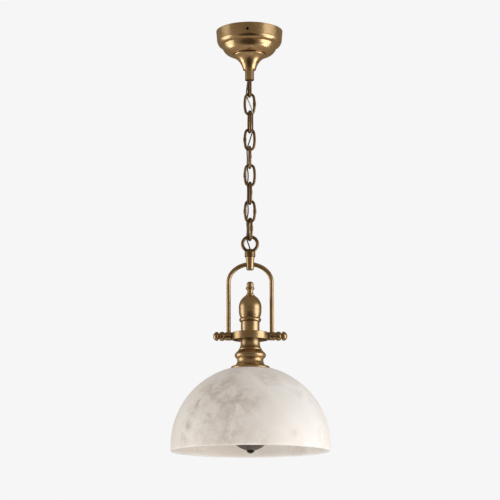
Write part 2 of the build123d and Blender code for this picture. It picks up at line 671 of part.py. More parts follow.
def chain_link(number):
    """One link: odd links face the front and even links are nearly edge-on."""
    middle_z = link_top_z[number - 1] - link_half_length
    across = Vector(1, 0, 0) if number % 2 else Vector(0, 1, 0)
    across = across.rotate(Axis.Z, LINK_TURNS[number - 1])
    plane = Plane(origin=(0, 0, middle_z), x_dir=across, z_dir=across.cross(Vector(0, 0, 1)))
    seams = [plane.from_local_coords((side * link_half_width, 0, 0)) for side in SEAM_SIDES[number - 1]]
    with BuildPart() as link:
        with BuildSketch(Plane.XY.offset(middle_z)):
            with Locations(*seams):
                Circle(SEAM_RADIUS)
        extrude(amount=SEAM_LENGTH / 2, both=True)
        chamfer(link.edges().filter_by(GeomType.CIRCLE), SEAM_CHAMFER)
        with BuildSketch(Plane.XY.offset(middle_z)):
            with Locations(*seams):
                Circle(SEAM_RADIUS)
                Circle(SEAM_RADIUS - SEAM_GROOVE, mode=Mode.SUBTRACT)
        extrude(amount=SEAM_GROOVE, both=True, mode=Mode.SUBTRACT)
        with BuildLine(plane):
            lower = JernArc((0, -link_half_length), (1, 0), LINK_END_RADIUS, 90 - side_angle)
            flank = JernArc(lower @ 1, lower % 1, side_radius, 2 * side_angle)
            upper = JernArc(flank @ 1, flank % 1, LINK_END_RADIUS, 180 - 2 * side_angle)
            flank = JernArc(upper @ 1, upper % 1, side_radius, 2 * side_angle)
            JernArc(flank @ 1, flank % 1, LINK_END_RADIUS, 90 - side_angle)
        with BuildSketch(Plane(origin=plane.from_local_coords((0, -link_half_length, 0)), z_dir=across)):
            Circle(LINK_WIRE / 2)
        sweep()
    return link


for link_number in range(1, LINK_COUNT + 1):
    save(chain_link(link_number), f"chain_link_{link_number}")

# Suspension ring: a ring cast in one with a domed cup, threaded below and drilled for the cord
cup_rim_z = cup_top_z - CUP_RISE
with BuildPart() as suspension_ring:
    with Locations((0, 0, ring_z)):
        Torus(RING_RADIUS, RING_WIRE / 2, rotation=(90, 0, 0))
    turned(
        (0, cup_top_z),
        (CUP_CROWN_RADIUS, cup_top_z),
        (CUP_RADIUS, cup_rim_z, CUP_DOME_BOW),
        (CUP_RADIUS, cup_rim_z - CUP_GROOVE_DROP),
        (CUP_RADIUS - CUP_GROOVE, cup_rim_z - CUP_GROOVE_DROP - CUP_GROOVE / 2),
        (CUP_RADIUS, cup_rim_z - CUP_GROOVE_DROP - CUP_GROOVE),
        (CUP_RADIUS, cup_foot_z + CUP_TAPER_HEIGHT),
        (CUP_FOOT_RADIUS, cup_foot_z),
        (0, cup_foot_z),
    )
    rod(PIPE_RADIUS + THREAD_FIT, cup_foot_z + CUP_THREAD_DEPTH, cup_foot_z, mode=Mode.SUBTRACT)
    rod(CUP_CORD_HOLE_RADIUS, cup_top_z + RING_WIRE, cup_foot_z, mode=Mode.SUBTRACT)
save(suspension_ring, "suspension_ring")

# Ring nipple between the cup and the stem
with BuildPart() as ring_nipple:
    ring(PIPE_BORE, PIPE_RADIUS, cup_foot_z + CUP_THREAD_DEPTH, cup_foot_z - STEM_THREAD_DEPTH)
save(ring_nipple, "ring_nipple")

# Bail arch: a flat upper arc and two tighter shoulders, all tangent, above straight legs
crown_radius = (BAIL_SHOULDER_INSET**2 + bail_rise**2 - bail_shoulder_radius**2) / (2 * BAIL_CROWN_RISE)
crown_centre_z = arch_top_z - crown_radius
shoulder_angle = degrees(asin(BAIL_SHOULDER_INSET / (crown_radius - bail_shoulder_radius)))
eye_socket_z = pivot_z + EYE_RADIUS - EYE_SOCKET_DEPTH


def crown_point(angle):
    """A point of the arch's upper arc, and its direction there, at an angle from the top."""
    turn = radians(angle)
    point = (crown_radius * sin(turn), crown_centre_z + crown_radius * cos(turn))
    return point, (cos(turn), -sin(turn))


def arm_line(side, start_angle, foot_z):
    """Draw the right-hand or left-hand arm's centre line from the stem to a height on its leg."""
    point, direction = crown_point(start_angle)
    start = (side * point[0], point[1])
    heading = (side * direction[0], direction[1])
    crown = JernArc(start, heading, crown_radius, side * (start_angle - shoulder_angle))
    shoulder = JernArc(crown @ 1, crown % 1, bail_shoulder_radius, side * (shoulder_angle - 90))
    Line(shoulder @ 1, (side * bail_half_span, foot_z))


arm_start_angle = degrees(asin(BAIL_START / crown_radius))


def arm_mouth(side, outward):
    """A plane across an arm's inner end, facing along the arm or back into the stem."""
    point, direction = crown_point(arm_start_angle)
    facing = (outward * side * direction[0], 0, outward * direction[1])
    return Plane(origin=(side * point[0], 0, point[1]), z_dir=facing)


# Bail stem: tapered tube with a closed, rounded foot and a hole on each side for an arm
with BuildPart() as bail_stem:
    turned(
        (0, cup_foot_z),
        (STEM_TOP_RADIUS, cup_foot_z),
        (STEM_FOOT_RADIUS, stem_foot_z + STEM_FOOT_ROUND),
        (STEM_FOOT_RADIUS - STEM_FOOT_ROUND, stem_foot_z, STEM_FOOT_BOW),
        (0, stem_foot_z),
    )
    rod(PIPE_RADIUS + THREAD_FIT, cup_foot_z, cup_foot_z - STEM_THREAD_DEPTH, mode=Mode.SUBTRACT)
    rod(STEM_CAVITY_RADIUS, cup_foot_z, stem_foot_z + STEM_FLOOR, mode=Mode.SUBTRACT)
    for side in (-1, 1):
        with BuildSketch(arm_mouth(side, 1)):
            Circle(BAIL_TUBE_RADIUS + THREAD_FIT)
        extrude(amount=STEM_TOP_RADIUS, mode=Mode.SUBTRACT)
        with BuildSketch(arm_mouth(side, -1)):
            Circle(BAIL_TUBE_RADIUS - BAIL_TUBE_WALL)
        extrude(amount=BAIL_START, mode=Mode.SUBTRACT)
save(bail_stem, "bail_stem")


def bail_arm(side):
    """One bent tube from the stem down to its eye."""
    with BuildPart() as arm:
        with BuildLine(Plane.XZ):
            arm_line(side, arm_start_angle, eye_socket_z)
        with BuildSketch(arm_mouth(side, 1)):
            Circle(BAIL_TUBE_RADIUS)
            Circle(BAIL_TUBE_RADIUS - BAIL_TUBE_WALL, mode=Mode.SUBTRACT)
        sweep()
    return arm


def bail_eye(side):
    """One bored boss on the pivot axis, with a socket for the arm above."""
    with BuildPart() as eye:
        turned(
            (eye_inner_face, SLEEVE_RADIUS + RUNNING_FIT),
            (eye_inner_face, EYE_RADIUS - EYE_EDGE),
            (eye_inner_face + EYE_EDGE, EYE_RADIUS),
            (eye_inner_face + EYE_WIDTH - EYE_EDGE, EYE_RADIUS),
            (eye_inner_face + EYE_WIDTH, EYE_RADIUS - EYE_EDGE),
            (eye_inner_face + EYE_WIDTH, SLEEVE_RADIUS + RUNNING_FIT),
            plane=pivot_plane(side),
            axis=pivot_axis,
        )
        with BuildSketch(Plane.XY.offset(eye_socket_z)):
            with Locations((side * bail_half_span, 0)):
                Circle(BAIL_TUBE_RADIUS + THREAD_FIT)
        extrude(amount=EYE_RADIUS, mode=Mode.SUBTRACT)
        with BuildSketch(Plane.XY.offset(pivot_z)):
            with Locations((side * bail_half_span, 0)):
                Circle(BAIL_TUBE_RADIUS - BAIL_TUBE_WALL)
        extrude(amount=EYE_RADIUS, mode=Mode.SUBTRACT)
    return eye


knob_start = eye_inner_face + EYE_WIDTH + FACE_GAP
knob_bead = knob_start + KNOB_SHOULDER_WIDTH
knob_groove = knob_bead + KNOB_BEAD_WIDTH
knob_ball = knob_groove + KNOB_GROOVE_WIDTH
sleeve_outer_end = knob_start + SLEEVE_IN_KNOB


def knob(side):
    """One clamp knob: shoulder, bead, groove and ball, bored for the pivot sleeve."""
    with BuildPart() as turned_knob:
        turned(
            (knob_start, SLEEVE_RADIUS + RUNNING_FIT),
            (knob_start, KNOB_SHOULDER_RADIUS),
            (knob_bead, KNOB_SHOULDER_RADIUS),
            (knob_bead, KNOB_BEAD_EDGE_RADIUS),
            (knob_groove, KNOB_BEAD_EDGE_RADIUS, KNOB_BEAD_BOW),
            (knob_groove, KNOB_GROOVE_RADIUS),
            (knob_ball, KNOB_GROOVE_RADIUS),
            (knob_ball + KNOB_BALL_RISE, KNOB_BALL_RADIUS, KNOB_BALL_RISE_BOW),
            (knob_ball + KNOB_BALL_RISE + KNOB_BALL_DOME, 0, cap_bow(KNOB_BALL_RADIUS, KNOB_BALL_DOME)),
            (sleeve_outer_end + FACE_GAP, 0),
            (sleeve_outer_end + FACE_GAP, SLEEVE_RADIUS + RUNNING_FIT),
            plane=pivot_plane(side),
            axis=pivot_axis,
        )
    return turned_knob


for side_name, side in (("left", -1), ("right", 1)):
    save(bail_arm(side), f"bail_arm_{side_name}")
    save(bail_eye(side), f"bail_eye_{side_name}")
    save(knob(side), f"knob_{side_name}")

# Pivot sleeves: hollow studs from the collar ring out to the knobs, cut away above where the lead comes in
window_start = eye_inner_face
window_end = bail_half_span + CORD_RADIUS + WINDOW_MARGIN
with BuildPart() as pivot_sleeves:
    for side in (-1, 1):
        turned(
            (sleeve_inner_end, SLEEVE_BORE),
            (sleeve_inner_end, SLEEVE_RADIUS),
            (sleeve_outer_end, SLEEVE_RADIUS),
            (sleeve_outer_end, SLEEVE_BORE),
            plane=pivot_plane(side),
            axis=pivot_axis,
        )
        with BuildSketch(pivot_plane(side)):
            with Locations(((window_start + window_end) / 2, WINDOW_SILL + SLEEVE_RADIUS)):
                Rectangle(window_end - window_start, 2 * SLEEVE_RADIUS)
        extrude(amount=SLEEVE_RADIUS, both=True, mode=Mode.SUBTRACT)
save(pivot_sleeves, "pivot_sleeves")

with BuildPart() as pivot_washers:
    for side in (-1, 1):
        turned(
            (washer_inner_face, SLEEVE_RADIUS + THREAD_FIT),
            (washer_inner_face, WASHER_RADIUS),
            (washer_outer_face, WASHER_RADIUS),
            (washer_outer_face, SLEEVE_RADIUS + THREAD_FIT),
            plane=pivot_plane(side),
            axis=pivot_axis,
        )
save(pivot_washers, "pivot_washers")

# Collar ring: shallow inverted cup on the pipe, with a flat and a threaded boss for each pivot sleeve
ring_plate_z = ring_top_z - RING_PLATE
with BuildPart() as collar_ring:
    turned(
        (PIPE_RADIUS + THREAD_FIT, ring_top_z),
        (RING_SKIRT_RADIUS - RING_EDGE, ring_top_z),
        (RING_SKIRT_RADIUS, ring_top_z - RING_EDGE, RING_EDGE_BOW),
        (RING_SKIRT_RADIUS, ring_foot_z),
        (RING_SKIRT_RADIUS - RING_SKIRT_WALL, ring_foot_z),
        (RING_SKIRT_RADIUS - RING_SKIRT_WALL, ring_plate_z),
        (PIPE_RADIUS + THREAD_FIT, ring_plate_z),
    )
    for side in (-1, 1):
        turned(
            (ring_boss_inner_end, 0),
            (ring_boss_inner_end, RING_BOSS_RADIUS),
            (washer_inner_face, RING_BOSS_RADIUS),
            (washer_inner_face, 0),
            plane=pivot_plane(side),
            axis=pivot_axis,
        )
        turned(
            (washer_inner_face, 0),
            (washer_inner_face, WASHER_RADIUS),
            (RING_SKIRT_RADIUS + RING_FLAT, WASHER_RADIUS),
            (RING_SKIRT_RADIUS + RING_FLAT, 0),
            plane=pivot_plane(side),
            axis=pivot_axis,
            mode=Mode.SUBTRACT,
        )
        turned(
            (sleeve_inner_end, 0),
            (sleeve_inner_end, SLEEVE_RADIUS + THREAD_FIT),
            (RING_SKIRT_RADIUS, SLEEVE_RADIUS + THREAD_FIT),
            (RING_SKIRT_RADIUS, 0),
            plane=pivot_plane(side),
            axis=pivot_axis,
            mode=Mode.SUBTRACT,
        )
save(collar_ring, "collar_ring")

# Neck sleeve and check ring between the collar ring and the urn
with BuildPart() as neck_sleeve:
    ring(NECK_RADIUS - NECK_WALL, NECK_RADIUS, neck_top_z, ring_top_z)
save(neck_sleeve, "neck_sleeve")

with BuildPart() as check_ring:
    turned(
        (PIPE_RADIUS + THREAD_FIT, urn_foot_z),
        (CHECK_RING_RADIUS, urn_foot_z),
        (CHECK_RING_RADIUS, neck_top_z, CHECK_RING_BOW),
        (PIPE_RADIUS + THREAD_FIT, neck_top_z),
    )
save(check_ring, "check_ring")

# Urn: egg-shaped shell, open below, with a hole for the finial's stud above
urn_belly_z = urn_foot_z + URN_BELLY_HEIGHT
finial_stud_radius = PIPE_BORE - THREAD_FIT
with BuildPart() as urn:
    turned(
        (finial_stud_radius + THREAD_FIT, urn_top_z),
        (URN_CROWN_RADIUS, urn_top_z),
        (URN_RADIUS, urn_belly_z, URN_UPPER_BOW),
        (URN_FOOT_RADIUS, urn_foot_z, URN_LOWER_BOW),
        (URN_FOOT_RADIUS - URN_WALL, urn_foot_z),
        (URN_RADIUS - URN_WALL, urn_belly_z, -URN_LOWER_BOW),
        (URN_CROWN_RADIUS, urn_top_z - URN_CROWN_WALL, -URN_UPPER_BOW),
        (finial_stud_radius + THREAD_FIT, urn_top_z - URN_CROWN_WALL),
    )
save(urn, "urn")

# Finial: turned tip whose stud screws into the pipe and clamps the column
finial_flare_z = urn_top_z + FINIAL_FLARE_HEIGHT
finial_cove_z = finial_flare_z + FINIAL_COVE_HEIGHT
finial_neck_z = finial_cove_z + FINIAL_NECK_HEIGHT
finial_ring_z = finial_neck_z + FINIAL_RING_HEIGHT
finial_tip_z = finial_ring_z + FINIAL_TIP_HEIGHT
with BuildPart() as finial:
    turned(
        (0, finial_tip_z + FINIAL_DOME_HEIGHT),
        (FINIAL_TIP_RADIUS, finial_tip_z, cap_bow(FINIAL_TIP_RADIUS, FINIAL_DOME_HEIGHT)),
        (FINIAL_TIP_RADIUS, finial_ring_z),
        (FINIAL_RING_RADIUS, finial_ring_z),
        (FINIAL_RING_RADIUS, finial_neck_z, FINIAL_RING_BOW),
        (FINIAL_NECK_RADIUS, finial_neck_z),
        (FINIAL_NECK_RADIUS, finial_cove_z),
        (FINIAL_FLARE_RADIUS, finial_flare_z, -FINIAL_COVE_BOW),
        (FINIAL_FLARE_RADIUS, urn_top_z),
        (finial_stud_radius, urn_top_z),
        (finial_stud_radius, urn_top_z - FINIAL_STUD_LENGTH),
        (0, urn_top_z - FINIAL_STUD_LENGTH),
    )
save(finial, "finial")

# Centre pipe: hollow threaded tube, with a window where the lead turns down into it
with BuildPart() as center_pipe:
    ring(PIPE_BORE, PIPE_RADIUS, pipe_top_z, pipe_foot_z)
    with BuildSketch(Plane.YZ):
        with Locations((0, pivot_z - PIPE_BEND_RADIUS / 2)):
            window_height = PIPE_BEND_RADIUS + 2 * LEAD_HOLE_RADIUS
            RectangleRounded(2 * LEAD_HOLE_RADIUS, window_height, PIPE_WINDOW_CORNER)
    extrude(amount=PIPE_RADIUS, mode=Mode.SUBTRACT)
save(center_pipe, "center_pipe")

# Shade holder: hollow turned body with a cove, a bead, a waist and a flange
holder_well_z = holder_foot_z + HOLDER_WELL_DEPTH
with BuildPart() as shade_holder:
    turned(
        (PIPE_RADIUS + THREAD_FIT, holder_top_z),
        (HOLDER_NECK_RADIUS, holder_top_z),
        (HOLDER_NECK_RADIUS, holder_top_z - HOLDER_NECK_HEIGHT),
        (HOLDER_COVE_RADIUS, holder_cove_z, -HOLDER_COVE_BOW),
        (HOLDER_COVE_RADIUS + HOLDER_FILLET_STEP, holder_cove_z),
        (HOLDER_COVE_RADIUS + HOLDER_FILLET_STEP, holder_slope_z),
        (HOLDER_SLOPE_RADIUS, holder_bead_z),
        (HOLDER_SLOPE_RADIUS, holder_undercut_z, HOLDER_BEAD_BOW),
        (HOLDER_UNDERCUT_RADIUS, holder_waist_z),
        (HOLDER_WAIST_RADIUS, holder_flare_z, -HOLDER_WAIST_BOW),
        (HOLDER_FLARE_RADIUS, holder_flange_z, -HOLDER_FLARE_BOW),
        (HOLDER_FLANGE_RADIUS, holder_foot_z, HOLDER_FLANGE_BOW),
        (HOLDER_WELL_RADIUS, holder_foot_z),
        (HOLDER_WELL_RADIUS, holder_well_z),
        (HOLDER_BORE, holder_well_z),
        (HOLDER_BORE, holder_top_z - HOLDER_LEDGE),
        (PIPE_RADIUS + THREAD_FIT, holder_top_z - HOLDER_LEDGE),
    )
    with BuildSketch(Plane.YZ):
        with Locations((0, pivot_z)):
            Circle(LEAD_HOLE_RADIUS)
    extrude(amount=HOLDER_NECK_RADIUS, mode=Mode.SUBTRACT)
save(shade_holder, "shade_holder")

# Alabaster shade: a stone dome with a short upright skirt, a flat seat on both sides of its top hole
with BuildPart() as alabaster_shade:
    dome_start = degrees(asin(SHADE_SEAT_RADIUS / SHADE_RADIUS))
    inner_start = degrees(asin(SHADE_INNER_SEAT_RADIUS / shade_inner_radius))
    with BuildSketch(Plane.XZ):
        with BuildLine():
            Line((SHADE_HOLE_RADIUS, shade_seat_z), (SHADE_SEAT_RADIUS, shade_seat_z))
            CenterArc((0, shade_centre_z), SHADE_RADIUS, 0, 90 - dome_start)
            Polyline(
                (SHADE_RADIUS, shade_centre_z),
                (SHADE_RADIUS, shade_rim_z),
                (shade_inner_radius, shade_rim_z),
                (shade_inner_radius, shade_centre_z),
            )
            CenterArc((0, shade_centre_z), shade_inner_radius, 0, 90 - inner_start)
            Polyline(
                (SHADE_INNER_SEAT_RADIUS, shade_inner_seat_z),
                (SHADE_HOLE_RADIUS, shade_inner_seat_z),
                (SHADE_HOLE_RADIUS, shade_seat_z),
            )
        make_face()
    revolve(axis=Axis.Z)
    fillet(alabaster_shade.edges().group_by(Axis.Z)[0], SHADE_RIM_ROUND)
save(alabaster_shade, "alabaster_shade")

# Gaskets above and below the shade, and the washer and nut that clamp it from inside
with BuildPart() as upper_gasket:
    ring(SHADE_HOLE_RADIUS + GASKET_MARGIN, HOLDER_FLANGE_RADIUS - GASKET_MARGIN, holder_foot_z, shade_seat_z)
save(upper_gasket, "upper_gasket")

with BuildPart() as lower_gasket:
    ring(SHADE_HOLE_RADIUS + GASKET_MARGIN, SHADE_WASHER_RADIUS, shade_inner_seat_z, shade_washer_z)
save(lower_gasket, "lower_gasket")

with BuildPart() as shade_washer:
    ring(PIPE_RADIUS + THREAD_FIT, SHADE_WASHER_RADIUS, shade_washer_z, shade_nut_z)
save(shade_washer, "shade_washer")

with BuildPart() as shade_nut:
    hex_nut(shade_nut_z, shade_nut_z - NUT_HEIGHT)
save(shade_nut, "shade_nut")

# Lampholder: brass cap on the pipe, porcelain body, screw shell and centre contact
porcelain_radius = CAP_RADIUS - CAP_WALL - THREAD_FIT
with BuildPart() as socket_cap:
    turned(
        (PIPE_RADIUS + THREAD_FIT, cap_top_z),
        (CAP_RADIUS - CAP_ROUND, cap_top_z),
        (CAP_RADIUS, cap_top_z - CAP_ROUND, CAP_ROUND_BOW),
        (CAP_RADIUS, cap_top_z - CAP_HEIGHT),
        (CAP_RADIUS - CAP_WALL, cap_top_z - CAP_HEIGHT),
        (CAP_RADIUS - CAP_WALL, porcelain_top_z),
        (CAP_RADIUS - CAP_WALL - CAP_ROUND, porcelain_top_z),
        (CAP_RADIUS - CAP_WALL - CAP_ROUND, pipe_foot_z),
        (PIPE_RADIUS + THREAD_FIT, pipe_foot_z),
    )
save(socket_cap, "socket_cap")

shell_outer_radius = SHELL_BORE + SHELL_WALL
with BuildPart() as socket_body:
    turned(
        (CONTACT_STEM_RADIUS + THREAD_FIT, porcelain_top_z),
        (porcelain_radius, porcelain_top_z),
        (porcelain_radius, porcelain_foot_z),
        (shell_outer_radius + THREAD_FIT, porcelain_foot_z),
        (shell_outer_radius + THREAD_FIT, socket_roof_z),
        (CONTACT_STEM_RADIUS + THREAD_FIT, socket_roof_z),
    )
    chamfer(socket_body.edges().group_by(Axis.Z)[0].sort_by(SortBy.LENGTH)[-1], CAP_WALL)
save(socket_body, "socket_body")

with BuildPart() as socket_shell:
    ring(SHELL_BORE, shell_outer_radius, socket_roof_z, porcelain_foot_z + SHELL_SHORT)
save(socket_shell, "socket_shell")

with BuildPart() as socket_contact:
    rod(CONTACT_STEM_RADIUS, porcelain_top_z, socket_roof_z)
    rod(CONTACT_RADIUS, socket_roof_z, socket_roof_z - CONTACT_HEIGHT)
    fillet(socket_contact.edges().group_by(Axis.Z)[0], CONTACT_ROUND)
save(socket_contact, "socket_contact")

# Bulb base: screw shell with rounded thread grooves, an insulator and a tip contact
base_bore = BASE_RADIUS - BASE_THREAD_DEPTH - BASE_WALL
with BuildPart() as bulb_base:
    ring(base_bore, BASE_RADIUS, base_top_z, base_foot_z)
    for groove in range(BASE_GROOVE_COUNT):
        groove_z = base_top_z - (groove + 0.5) * BASE_THREAD_PITCH
        turned(
            (BASE_RADIUS, groove_z),
            (BASE_RADIUS, groove_z - BASE_THREAD_PITCH / 2, -BASE_THREAD_DEPTH),
            mode=Mode.SUBTRACT,
        )
save(bulb_base, "bulb_base")

with BuildPart() as bulb_insulator:
    turned(
        (0, base_top_z + INSULATOR_HEIGHT),
        (INSULATOR_TOP_RADIUS, base_top_z + INSULATOR_HEIGHT),
        (BASE_RADIUS - BASE_WALL, base_top_z),
        (0, base_top_z),
    )
save(bulb_insulator, "bulb_insulator")

with BuildPart() as bulb_contact:
    rod(TIP_CONTACT_RADIUS, bulb_top_z, bulb_top_z - TIP_CONTACT_HEIGHT)
    fillet(bulb_contact.edges().group_by(Axis.Z)[-1], TIP_CONTACT_ROUND)
save(bulb_contact, "bulb_contact")

# Bulb glass: thin globe blown out from a neck that is cemented in the base, with a drawn pip below
glass_neck_radius = base_bore - THREAD_FIT
glass_top_z = base_foot_z + GLASS_IN_BASE
glass_neck_z = base_foot_z - GLASS_NECK_LENGTH


def globe_meeting(radius, neck_radius):
    """The fillet from a straight neck to a globe: its radius, and where it meets the globe."""
    rise = glass_neck_z - globe_centre_z
    cove = (neck_radius**2 + rise**2 - radius**2) / (2 * (radius - neck_radius))
    share = radius / (radius + cove)
    return cove, ((neck_radius + cove) * share, globe_centre_z + rise * share)


def glass_profile(radius, neck_radius, pip_radius, pip_length):
    """Draw one face of the glass, from the neck's mouth down to the pip's tip."""
    cove, meeting = globe_meeting(radius, neck_radius)
    pip_z = globe_centre_z - sqrt(radius**2 - pip_radius**2)
    pip_tip = (0, globe_centre_z - radius - pip_length)
    Line((neck_radius, glass_top_z), (neck_radius, glass_neck_z))
    RadiusArc((neck_radius, glass_neck_z), meeting, cove)
    ThreePointArc(meeting, (radius, globe_centre_z), (pip_radius, pip_z))
    SagittaArc((pip_radius, pip_z), pip_tip, cap_bow(pip_radius, pip_z - pip_tip[1]))
    return pip_tip


with BuildPart() as bulb_glass:
    with BuildSketch(Plane.XZ):
        with BuildLine():
            outer_tip = glass_profile(GLOBE_RADIUS, glass_neck_radius, PIP_RADIUS, PIP_LENGTH)
            Line(outer_tip, (0, glass_top_z))
            Line((0, glass_top_z), (glass_neck_radius, glass_top_z))
        make_face()
    revolve(axis=Axis.Z)
    with BuildSketch(Plane.XZ):
        with BuildLine():
            inner_neck = glass_neck_radius - GLASS_WALL
            inner_pip = PIP_RADIUS - GLASS_WALL
            inner_tip = glass_profile(GLOBE_RADIUS - GLASS_WALL, inner_neck, inner_pip, PIP_LENGTH)
            Line(inner_tip, (0, glass_top_z))
            Line((0, glass_top_z), (inner_neck, glass_top_z))
        make_face()
    revolve(axis=Axis.Z, mode=Mode.SUBTRACT)
save(bulb_glass, "bulb_glass")

# Bulb mount: a glass stem in the neck with a rod and two small spiders, and straight filaments between them
mount_radius = glass_neck_radius - GLASS_WALL - THREAD_FIT
mount_foot_z = glass_top_z - MOUNT_LENGTH
spider_foot_z = mount_foot_z - MOUNT_ROD_LENGTH
with BuildPart() as bulb_mount:
    turned(
        (0, glass_top_z),
        (mount_radius, glass_top_z),
        (mount_radius, glass_top_z - GLASS_WALL),
        (MOUNT_TOP_RADIUS, glass_top_z - GLASS_WALL - MOUNT_SHOULDER),
        (MOUNT_ROD_RADIUS, mount_foot_z),
        (MOUNT_ROD_RADIUS, spider_foot_z),
        (0, spider_foot_z),
    )
    rod(SPIDER_RADIUS, mount_foot_z, mount_foot_z - SPIDER_THICKNESS)
    rod(SPIDER_RADIUS, spider_foot_z + SPIDER_THICKNESS, spider_foot_z)
save(bulb_mount, "bulb_mount")

with BuildPart() as bulb_filaments:
    with BuildSketch(Plane.XY.offset(spider_foot_z + SPIDER_THICKNESS)):
        with PolarLocations(FILAMENT_CIRCLE, FILAMENT_COUNT, start_angle=FILAMENT_START_ANGLE):
            Circle(FILAMENT_RADIUS)
    extrude(amount=MOUNT_ROD_LENGTH - 2 * SPIDER_THICKNESS)
save(bulb_filaments, "bulb_filaments")


def corner_radii(points):
    """The largest arc that the two runs at each corner allow."""
    vectors = [Vector(*end) - Vector(*start) for start, end in zip(points, points[1:])]
    radii = []
    for before, after in zip(vectors, vectors[1:]):
        half_turn = radians(before.get_angle(after)) / 2
        radii.append(CORNER_SHARE * min(before.length, after.length) * cos(half_turn) / sin(half_turn))
    return radii


# Supply cord: from the terminal block down through the nipple, woven through the chain, into the ring's cup
with BuildPart() as supply_cord:
    with BuildLine() as cord_line:
        cord_points = [tuple(cord_entry), tuple(cord_level_end)] + CORD_ROUTE
        cord_radii = corner_radii(cord_points)
        FilletPolyline(*cord_points, radius=cord_radii)
    with BuildSketch(Plane(origin=cord_entry, z_dir=cord_line.line % 0)):
        Circle(CORD_RADIUS)
    sweep()
save(supply_cord, "supply_cord")
print("supply cord length", round(cord_line.wires()[0].length, 1))
print("supply cord radii", [round(radius, 1) for radius in cord_radii])

# Bail lead: from the cord's end in the stem, along the right-hand arm and into the pivot sleeve
lead_start_angle = degrees(asin(STEM_BEND_RADIUS / (crown_radius + STEM_BEND_RADIUS)))
lead_bend_z = crown_centre_z + (crown_radius + STEM_BEND_RADIUS) * cos(radians(lead_start_angle))
lead_top_z = CORD_ROUTE[-1][2] - LEAD_GAP
with BuildPart() as bail_lead:
    with BuildLine(Plane.XZ):
        drop = Line((0, lead_top_z), (0, lead_bend_z))
        JernArc(drop @ 1, drop % 1, STEM_BEND_RADIUS, 90 - lead_start_angle)
        arm_line(1, lead_start_angle, pivot_z + EYE_BEND_RADIUS)
        eye_bend = JernArc((bail_half_span, pivot_z + EYE_BEND_RADIUS), (0, -1), EYE_BEND_RADIUS, -90)
        Line(eye_bend @ 1, (eye_inner_face + LEAD_GAP, pivot_z))
    with BuildSketch(Plane.XY.offset(lead_top_z)):
        Circle(CORD_RADIUS)
    sweep()
save(bail_lead, "bail_lead")

# Socket lead: through the right-hand pivot sleeve, into the centre pipe and down to the lampholder
with BuildPart() as socket_lead:
    with BuildLine(Plane.XZ):
        inward = Line((eye_inner_face, pivot_z), (PIPE_BEND_RADIUS, pivot_z))
        downward = JernArc(inward @ 1, inward % 1, PIPE_BEND_RADIUS, 90)
        Line(downward @ 1, (0, porcelain_top_z))
    with BuildSketch(Plane(origin=(eye_inner_face, 0, pivot_z), z_dir=(-1, 0, 0))):
        Circle(CORD_RADIUS)
    sweep()
save(socket_lead, "socket_lead")
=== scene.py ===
import json
import math

import bmesh
import bpy
from mathutils import Matrix, Vector


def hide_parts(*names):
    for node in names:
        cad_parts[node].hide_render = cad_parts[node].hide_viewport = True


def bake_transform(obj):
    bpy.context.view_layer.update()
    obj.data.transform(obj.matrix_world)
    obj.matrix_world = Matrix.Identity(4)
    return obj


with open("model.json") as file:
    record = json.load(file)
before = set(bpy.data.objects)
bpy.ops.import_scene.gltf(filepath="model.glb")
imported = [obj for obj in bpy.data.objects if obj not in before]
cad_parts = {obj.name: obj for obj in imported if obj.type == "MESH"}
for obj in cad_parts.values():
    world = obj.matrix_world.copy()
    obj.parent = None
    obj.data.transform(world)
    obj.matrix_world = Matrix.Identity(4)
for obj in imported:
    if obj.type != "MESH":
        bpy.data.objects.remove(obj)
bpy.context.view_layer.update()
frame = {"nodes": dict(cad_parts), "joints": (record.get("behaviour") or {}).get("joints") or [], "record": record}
nodes = frame["nodes"]

# Camera, fitted to the photograph's frame of 500 by 500 pixels, with its angles in degrees
FRAME_PIXELS = 500
FOCAL_PIXELS = 1812.8
CAMERA_PLACE = (0.0, -3.4076, -1.0975)
CAMERA_LEVEL = 90.0
CAMERA_PITCH = 10.995
CAMERA_ROLL = -0.16
SENSOR_WIDTH = 36.0

# Floor
FLOOR_HEIGHT = -2.6
FLOOR_SIZE = 14.0
FLOOR_LIGHT = (0.84, 0.84, 0.84, 1)
FLOOR_DARK = (0.82, 0.82, 0.82, 1)

# Surround: the grey that the camera sees, the even light, and what glossy surfaces mirror
BACKGROUND = (0.922, 0.922, 0.922, 1.0)
EVEN_COLOUR = (1.0, 0.99, 0.97, 1)
EVEN_LIGHT = 0.66
MIRROR_LEVEL = (0.26, 0.205, 0.145, 1.0)
MIRROR_BELOW = (0.40, 0.325, 0.25, 1.0)
MIRROR_BELOW_FROM = -0.25
MIRROR_BELOW_TO = -0.85
MIRROR_DARK = (0.040, 0.027, 0.014, 1.0)
MIRROR_DARK_WAY = (0.0, -0.829, -0.559)
MIRROR_DARK_FROM = 0.68
MIRROR_DARK_TO = 0.92

# Soft boxes: place, the point that they face, width, height and power
SOFT_BOXES = {
    "left_box": ((-2.3, 0.10, -0.45), (0.0, 0.0, -0.40), 1.7, 1.5, 15.0),
    "left_low_box": ((-2.0, 0.42, -1.38), (0.0, 0.0, -0.10), 0.9, 0.6, 6.0),
    "right_box": ((2.15, -0.65, -0.45), (0.0, 0.0, -0.40), 2.0, 1.5, 23.0),
    "right_low_box": ((1.9, -0.15, -1.52), (0.0, 0.0, -0.10), 1.1, 0.7, 9.0),
    "under_box": ((0.0, -0.9, -1.75), (0.0, 0.0, -0.80), 1.6, 1.6, 8.0),
}
UNMIRRORED = {"under_box"}

